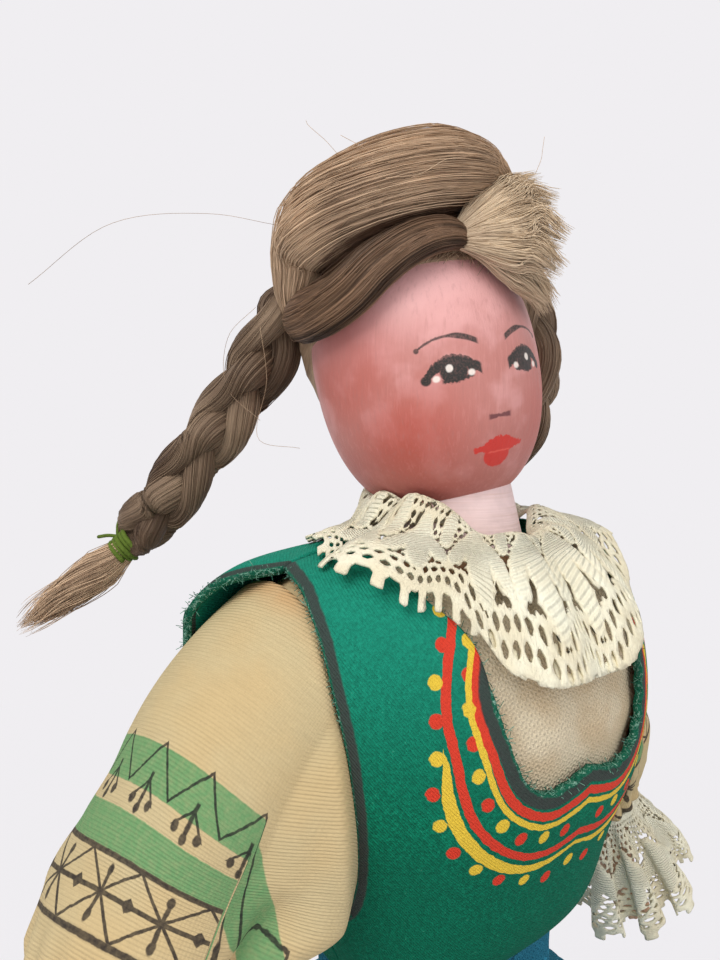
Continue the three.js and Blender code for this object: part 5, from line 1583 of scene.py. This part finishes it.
def collar_lace():
    """Lace gathered on the neck: it stands up there, turns over and lies down on the vest in ruffles
    whose depth grows towards the edge. In front the edge is turned under."""

    def place(x, y, length, leaf):
        """Where a place of the flat lace lies on the neck and the vest."""
        share = x / length
        down = y / COLLAR_WIDTH
        wobble = np.sin(2 * np.pi * (3 * share + 0.2)) + 0.6 * np.sin(2 * np.pi * (5 * share + 0.6))
        fold = 2 * np.pi * 9 * share + 1.1 * wobble
        angle = -180 + 360 * share + 3.0 * np.sin(fold) * down
        angle = (angle + 180) % 360 - 180
        under = smooth(-44, -30, angle) * (1 - smooth(38, 60, angle))
        past = np.maximum(0, down - COLLAR_FOLD) * under
        reach = (down - 2 * past - 0.2) / (mix(1, COLLAR_FOLD, under) - 0.2)
        run = mix(FULL_RUN, collar_edge(angle), np.clip(reach, 0, 1))
        height = 1.0 + (0.5 + 1.5 * down) * (0.5 + 0.5 * np.cos(fold)) + 0.35 * wobble * down
        height = height - 0.45 * height * smooth(0, 0.05, past)
        spread = on_body(angle, run, height + 0.25 * leaf)
        turn = np.radians(angle)
        upright = smooth(-178, -140, angle) * (1 - smooth(-56, -36, angle))
        opened = smooth(-46, -26, angle) * (1 - smooth(25, 60, angle))
        bent = np.sin(np.pi * np.clip(down / 0.42, 0, 1))
        rise = 4.6 + 0.8 * np.cos(fold) + (1.6 + 4.4 * upright) * bent - 3.4 * opened
        radius = 11.7 + 1.2 * (0.5 + 0.5 * np.cos(fold)) + 16 * down
        standing = NECK_PLACE + NECK_AXIS * rise[..., None] + np.stack(
            [radius * np.sin(turn), -radius * np.cos(turn), 0 * turn], -1)
        lying = smooth(0.08, 0.4, down)
        return mix(standing, spread, lying[..., None])

    return lace_strip(COLLAR_SCALLOPS, COLLAR_WIDTH, place)


def cuff_lace(side):
    """Lace gathered on the arm below the sleeve, flaring to deep ruffles at its edge."""
    way, outside, ahead = arm_axes(side)
    centre = hinge(side)

    def place(x, y, length, leaf):
        """Where a place of the flat lace lies round the arm."""
        share = x / length
        down = y / CUFF_WIDTH
        turn = 2 * np.pi * share * side
        fold = 2 * np.pi * 9 * share + 0.8 * np.sin(2 * np.pi * 3 * share)
        radius = np.interp(down, [0, 0.14, 0.45, 0.75, 1], [7.2, 8, 12.6, 16, 17.4])
        radius = radius + (0.4 + 2.3 * down) * np.cos(fold) * smooth(0, 0.2, down) + 0.25 * leaf
        turn = turn + 0.11 * np.sin(2 * fold) * down * side
        along = CUFF_START + 0.2 + y
        radial = outside * np.cos(turn)[..., None] + ahead * np.sin(turn)[..., None]
        return centre + way * along[..., None] + radial * radius[..., None]

    return lace_strip(CUFF_SCALLOPS, CUFF_WIDTH, place)


# Skirt and petticoat
def waistband():
    """Band of skirt cloth round the waist, gathered in small upright pleats, its top along the hem."""
    angle = np.linspace(0, 360, 360, endpoint=False)[None, :]
    share = np.linspace(0, 1, 12)[:, None]
    ahead = np.clip(1 - np.minimum(angle, 360 - angle) / FRONT_SEAM, 0, 1)
    high = mix(run_at(HEM_SIDE), run_at(HEM_FRONT), ahead) + 1.5
    pleats = 0.35 * np.cos(np.radians(angle) * 60) * np.sin(np.pi * share) ** 0.5
    run = mix(WAIST_RUN, high, share)
    points = on_body(angle, run, -0.5 - 1.2 * smooth(0.8, 1, share) + pleats)
    return sheet_of(points, True, cloth_around=angle * 0.45 + 0 * share, cloth_down=run,
                    hem_gap=share * 9 + 2 + 0 * angle)


def flared_cloth(top, length, waist, hem, folds, depth, seed, columns):
    """Gathered cloth from a waist line to a round hem: the radius grows fast at first, small gathers at
    the waist run together into deep folds at the hem."""
    rng = np.random.default_rng(seed)
    angle = np.linspace(0, 360, columns, endpoint=False)[None, :]
    share = (np.linspace(0, 1, CLOTH_ROWS) ** 1.25)[:, None]
    turn = np.radians(angle)
    uneven = 0.22 * np.sin(3 * turn + rng.uniform(0, 6)) + 0.16 * np.sin(5 * turn + rng.uniform(0, 6))
    wide = np.cos(folds * turn + uneven * 2)
    sharp = wide + 0.25 * np.cos(2 * folds * turn + 1)
    gathers = np.cos(4 * folds * turn + 3 * uneven)
    radius = mix(waist(angle) - 1.8, hem, share ** 0.6)
    gathered = 0.9 * smooth(0, 0.05, share) * (1 - share) ** 5 * gathers
    radius = (radius + depth * share ** 0.9 * sharp + gathered) * (1 + 0.012 * uneven * share)
    swirl = turn + 0.018 * np.sin(folds * turn * 2 + 1) * share
    height = top - length * share
    grid = points_of(radius * np.sin(swirl), -radius * np.cos(swirl), height)[::-1]
    fields = {"cloth_around": angle * 1.2 + 0 * share, "cloth_down": length * share + 0 * angle,
              "hem_gap": length * (1 - share) + 0 * angle}
    return sheet_of(grid, True, **{name: values[::-1] for name, values in fields.items()})


def skirt():
    """The skirt, hung from the torso's outline at the waist."""

    def waist(angle):
        """Distance from the axis to the torso's outline."""
        spot = outline(angle, WAIST_RUN)
        return np.hypot(spot[..., 0], spot[..., 1])

    return flared_cloth(SKIRT_TOP, SKIRT_LENGTH, waist, SKIRT_HEM - 0.6, SKIRT_FOLDS, depth=2.9, seed=51,
                        columns=SKIRT_COLUMNS)


def petticoat():
    """The petticoat, hung from the hips' oval outline."""

    def waist(angle):
        """Distance from the axis to the hips' oval."""
        turn = np.radians(angle)
        return 1 / np.hypot(np.sin(turn) / HIP_HALF_WIDTH, np.cos(turn) / HIP_HALF_DEPTH)

    return flared_cloth(PETTICOAT_TOP, PETTICOAT_LENGTH, waist, PETTICOAT_HEM, PETTICOAT_FOLDS,
                        depth=1.6, seed=52, columns=PETTICOAT_COLUMNS)


# Operators
class DOLL_OT_wood(bpy.types.Operator):
    """Adds the head, neck, arms, hands, legs and boots, and paints the wood that stays hidden"""

    bl_idname = "doll.wood"
    bl_label = "Wooden Pieces"

    def execute(self, context):
        place_piece("head_egg", head_egg(), head_paint(), "head", ["head"])
        place_piece("neck_post", neck_post(), neck_paint(), "torso", ["neck"])
        wood, paint_coat = bare_wood(), boot_paint()
        for name, side in SIDES:
            arm = f"{name}_arm"
            place_piece(f"{name}_arm_stick", arm_stick(side), wood, arm, [arm])
            place_piece(f"{name}_hand_carving", hand(side), wood, arm, [f"{name}_hand"])
            leg = turned(LEG_PROFILE, (LEG_APART * side, 0, 0), (0, 0, 1), 40)
            place_piece(f"{name}_leg_rod", leg, wood, "torso", [f"{name}_leg"])
            place_piece(f"{name}_boot_painted", boot(side), paint_coat, "torso",
                        [f"{name}_boot"])
        for node in ("torso_block", "waist_dowel", "hip_block", "right_shoulder_peg",
                     "left_shoulder_peg"):
            hidden = frame["nodes"][node]
            hidden.data.materials.clear()
            hidden.data.materials.append(wood)
        return {"FINISHED"}


class DOLL_OT_hair(bpy.types.Operator):
    """Adds the combed wool on the head: cap, crown roll, brow hank, tuft and stray hairs"""

    bl_idname = "doll.hair"
    bl_label = "Hair"

    def execute(self, context):
        brown = wool_hair("wool_hair", paint("hair_dark"), paint("hair_pale"))
        # The hank gets its own darker wool, painted shade where it lies under the crown roll.
        hank = wool_hair("wool_hank_shaded", paint("hank_dark"), paint("hank_pale"))
        beige = wool_hair("wool_tuft", toned(paint("hair_pale"), 0.5), paint("hair_light"))
        place_piece("hair_cap_wool", hair_cap(), brown, "head", ["hair_cap"])
        place_piece("crown_roll_wool", crown_roll(), brown, "head", ["crown_roll"])
        place_piece("brow_hank_wool", brow_hank(), hank, "head", ["brow_hank"])
        place_piece("knot_tuft_wool", knot_tuft(), beige, "head", ["knot_tuft"])
        place_piece("stray_hairs", stray_hairs(), brown, "head")
        return {"FINISHED"}


class DOLL_OT_braids(bpy.types.Operator):
    """Adds both braids with their ties and loose tails"""

    bl_idname = "doll.braids"
    bl_label = "Braids"

    def execute(self, context):
        # The plait's wool is a darker copy of the hair's, as painted shade in the braid's crevices.
        dark = wool_hair("wool_plait", toned(paint("hair_dark"), 0.6), toned(paint("hair_pale"), 0.5))
        brown = wool_hair("wool_tail", paint("hair_dark"), paint("hair_pale"))
        green = tie_thread()
        for name, _ in SIDES:
            body = f"{name}_braid"
            line = braid_line(name)
            piece = place_piece(f"{name}_plait", plait(name), dark, None, [body])
            line[1] * MM
            line[BRAID_BEND] * MM
            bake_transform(piece)
            place_piece(f"{name}_tie_thread", braid_tie(name), green, body, [f"{body}_tie"])
            place_piece(f"{name}_tail_wool", braid_tail(name), brown, body, [f"{body}_tail"])
        return {"FINISHED"}


class DOLL_OT_vest(bpy.types.Operator):
    """Adds the felt vest with its painted trim and frayed edges"""

    bl_idname = "doll.vest"
    bl_label = "Vest"

    def execute(self, context):
        felt = vest_felt()
        front = place_piece("vest_front_felt", vest_panel(True), felt, "torso",
                            ["vest_front"])
        back = place_piece("vest_back_felt", vest_panel(False), felt, "torso",
                           ["vest_back"])
        for piece in (front, back):
            thicken(piece, sizes("felt_thickness"), -1)
        fray = place_piece("vest_fray", frayed_edges(), fray_wool(), "torso")
        return {"FINISHED"}


class DOLL_OT_blouse(bpy.types.Operator):
    """Adds the blouse's front and back under the vest, and the cloth that bags at the armholes"""

    bl_idname = "doll.blouse"
    bl_label = "Blouse"

    def execute(self, context):
        linen, printed = bib_linen(), sleeve_linen()
        front = place_piece("blouse_front_linen", blouse_panel(True), linen, "torso",
                            ["blouse_front"])
        back = place_piece("blouse_back_linen", blouse_panel(False), linen, "torso",
                           ["blouse_back"])
        for piece in (front, back):
            thicken(piece, sizes("linen_thickness"), -1)
        for name, side in SIDES:
            bag = place_piece(f"{name}_armhole_linen", armhole_gusset(side), printed, "torso")
            thicken(bag, GUSSET_THICKNESS, -1)
            piece = place_piece(f"{name}_sleeve_linen", sleeve(side), printed, None,
                                [f"{name}_sleeve"])
            thicken(piece, sizes("linen_thickness"), -1)
            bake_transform(piece)
        return {"FINISHED"}


class DOLL_OT_lace(bpy.types.Operator):
    """Adds the lace collar and both lace cuffs"""

    bl_idname = "doll.lace"
    bl_label = "Lace"

    def execute(self, context):
        cotton = cotton_lace()
        pitch = sizes("lace_scallop") * MM
        strip, area = collar_lace()
        collar = place_piece("collar_lace_ruffle", strip, cotton, "torso", ["collar_lace"])
        thicken(collar, sizes("lace_thickness"), 0)
        COLLAR_SCALLOPS * pitch
        for name, side in SIDES:
            strip, area = cuff_lace(side)
            cuff = place_piece(f"{name}_cuff_ruffle", strip, cotton, f"{name}_arm",
                               [f"{name}_cuff_lace"])
            thicken(cuff, sizes("lace_thickness"), 0)
            CUFF_SCALLOPS * pitch
        return {"FINISHED"}


class DOLL_OT_skirts(bpy.types.Operator):
    """Adds the waistband, the gathered skirt and the petticoat"""

    bl_idname = "doll.skirts"
    bl_label = "Skirt and Petticoat"

    def execute(self, context):
        blue = plain_cotton("skirt_cotton", paint("skirt"))
        white = plain_cotton("petticoat_cotton", paint("petticoat"))
        gores = [node for node in frame["nodes"] if node.startswith("skirt_gore_")]
        band = place_piece("waistband_cotton", waistband(), blue, "torso",
                           ["skirt_waistband"])
        cloth = place_piece("skirt_cotton_folds", skirt(), blue, "torso", gores)
        under = place_piece("petticoat_folds", petticoat(), white, "torso",
                            ["petticoat"])
        thickness = sizes("skirt_thickness")
        thicken(band, 2 * thickness, -1)
        thicken(cloth, thickness, -1)
        thicken(under, PETTICOAT_THICKNESS, -1)
        return {"FINISHED"}


class DOLL_OT_stage(bpy.types.Operator):
    """Adds the floor, the lights and a camera at the doll's right front"""

    bl_idname = "doll.stage"
    bl_label = "Stage"

    def execute(self, context):
        scene = context.scene
        scene.view_settings.view_transform = "Standard"
        self.add_floor(scene)
        self.add_lights(scene)
        self.add_camera(scene)
        return {"FINISHED"}

    def add_floor(self, scene):
        """A level round floor of pale paper."""
        turn = np.radians(np.arange(0, 360, 5))
        mesh = bpy.data.meshes.new("floor")
        rim = np.stack([FLOOR_RADIUS * np.cos(turn), FLOOR_RADIUS * np.sin(turn), 0 * turn], -1)
        mesh.from_pydata(rim.tolist(), [], [list(range(len(turn)))])
        f = Finish("floor_paper", 0.9, 0.0)
        soft = f.noise(f.place(0.01, 0.01, 0.01), 1.0, 2.0)
        f.done(f.blend(soft, toned(paint("floor"), 0.97), paint("floor")))
        pale = f.tree.nodes.new("ShaderNodeEmission")
        pale.inputs["Color"].default_value = paint("floor")
        output = f.tree.nodes["Material Output"].inputs["Surface"]
        across, behind, _ = f.apart(f.place())
        glow = far(across, behind).over(GLOW_EDGE, GLOW_SOFT) * (1 - FLOOR_GLOW) + FLOOR_GLOW
        self.show_pale(f.tree, f.shader.outputs[0], pale.outputs[0], glow.socket, output)
        mesh.materials.append(f.material)
        floor = bpy.data.objects.new("floor", mesh)
        scene.collection.objects.link(floor)

    def show_pale(self, tree, plain, pale, share, output):
        """Shows the pale shader to the camera and in gloss, by a share, and the plain one to all else."""
        rays = tree.nodes.new("ShaderNodeLightPath")
        seen = rays.outputs["Is Camera Ray"]
        for kind in ("Is Glossy Ray", "Is Transmission Ray"):
            larger = tree.nodes.new("ShaderNodeMath")
            larger.operation = "MAXIMUM"
            tree.links.new(seen, larger.inputs[0])
            tree.links.new(rays.outputs[kind], larger.inputs[1])
            seen = larger.outputs[0]
        if share is not None:
            part = tree.nodes.new("ShaderNodeMath")
            part.operation = "MULTIPLY"
            tree.links.new(seen, part.inputs[0])
            tree.links.new(share, part.inputs[1])
            seen = part.outputs[0]
        shown = tree.nodes.new("ShaderNodeMixShader")
        tree.links.new(seen, shown.inputs[0])
        tree.links.new(plain, shown.inputs[1])
        tree.links.new(pale, shown.inputs[2])
        tree.links.new(shown.outputs[0], output)

    def add_lights(self, scene):
        """A pale sky and three soft lamps that face the doll."""
        world = bpy.data.worlds.new("studio")
        world.use_nodes = True
        nodes = world.node_tree.nodes
        sky, pale = nodes["Background"], nodes.new("ShaderNodeBackground")
        sky.inputs["Color"].default_value = SKY_TINT
        sky.inputs["Strength"].default_value = SKY_STRENGTH
        pale.inputs["Color"].default_value = paint("floor")
        output = nodes["World Output"].inputs["Surface"]
        self.show_pale(world.node_tree, sky.outputs[0], pale.outputs[0], None, output)
        scene.world = world
        for name, place, size, power, tint in LAMPS:
            lamp = bpy.data.lights.new(name, "AREA")
            lamp.size = size
            lamp.energy = power
            lamp.color = tint
            holder = bpy.data.objects.new(name, lamp)
            holder.location = place
            facing = Vector(LAMP_TARGET) - Vector(place)
            holder.rotation_euler = facing.to_track_quat("-Z", "Y").to_euler()
            scene.collection.objects.link(holder)

    def add_camera(self, scene):
        """A camera turned to the doll's right and a little down; its sensor counts along the picture's
        height."""
        azimuth, elevation = np.radians(CAMERA_TURN), np.radians(CAMERA_RISE)
        away = np.array([np.sin(azimuth) * np.cos(elevation), -np.cos(azimuth) * np.cos(elevation),
                         np.sin(elevation)])
        right = unit(np.cross([0, 0, 1], away))
        place = np.array(CAMERA_PLACE) * MM
        holder = bpy.data.cameras.new("camera")
        holder.lens = CAMERA_LENS
        holder.sensor_width = CAMERA_SENSOR
        holder.clip_start = 0.005
        camera = bpy.data.objects.new("camera", holder)
        turn = Matrix([*np.column_stack([right, np.cross(away, right), away]).tolist()])
        camera.matrix_world = Matrix.Translation(place) @ turn.to_4x4()
        scene.collection.objects.link(camera)
        scene.camera = camera


PIECE_OPERATORS = (DOLL_OT_wood, DOLL_OT_hair, DOLL_OT_braids, DOLL_OT_vest, DOLL_OT_blouse, DOLL_OT_lace,
                   DOLL_OT_skirts, DOLL_OT_stage)


class DOLL_PT_dress(bpy.types.Panel):
    """Lists the doll's pieces, sizes and colours"""

    bl_label = "Folk Costume Doll"
    bl_idname = "DOLL_PT_dress"
    bl_space_type = "VIEW_3D"
    bl_region_type = "UI"
    bl_category = "Doll"

    def draw(self, context):
        for operator in PIECE_OPERATORS:
            self.layout.operator(operator.bl_idname)
        for group in (context.scene.doll_sizes, context.scene.doll_colours):
            for name in group.bl_rna.properties.keys():
                if name not in ("rna_type", "name"):
                    self.layout.prop(group, name)


CLASSES = (DollColours, DollSizes, *PIECE_OPERATORS, DOLL_PT_dress)


def register():
    """Adds the doll's classes, colours and sizes."""
    for cls in CLASSES:
        bpy.utils.register_class(cls)
    bpy.types.Scene.doll_colours = bpy.props.PointerProperty(type=DollColours)
    bpy.types.Scene.doll_sizes = bpy.props.PointerProperty(type=DollSizes)


def unregister():
    """Takes away what register added."""
    del bpy.types.Scene.doll_sizes
    del bpy.types.Scene.doll_colours
    for cls in reversed(CLASSES):
        bpy.utils.unregister_class(cls)


def main():
    """Builds the whole doll on its stage."""
    register()
    bpy.ops.doll.stage()
    bpy.ops.doll.wood()
    bpy.ops.doll.hair()
    bpy.ops.doll.braids()
    bpy.ops.doll.vest()
    bpy.ops.doll.blouse()
    bpy.ops.doll.lace()
    bpy.ops.doll.skirts()


if __name__ == "__main__":
    main()
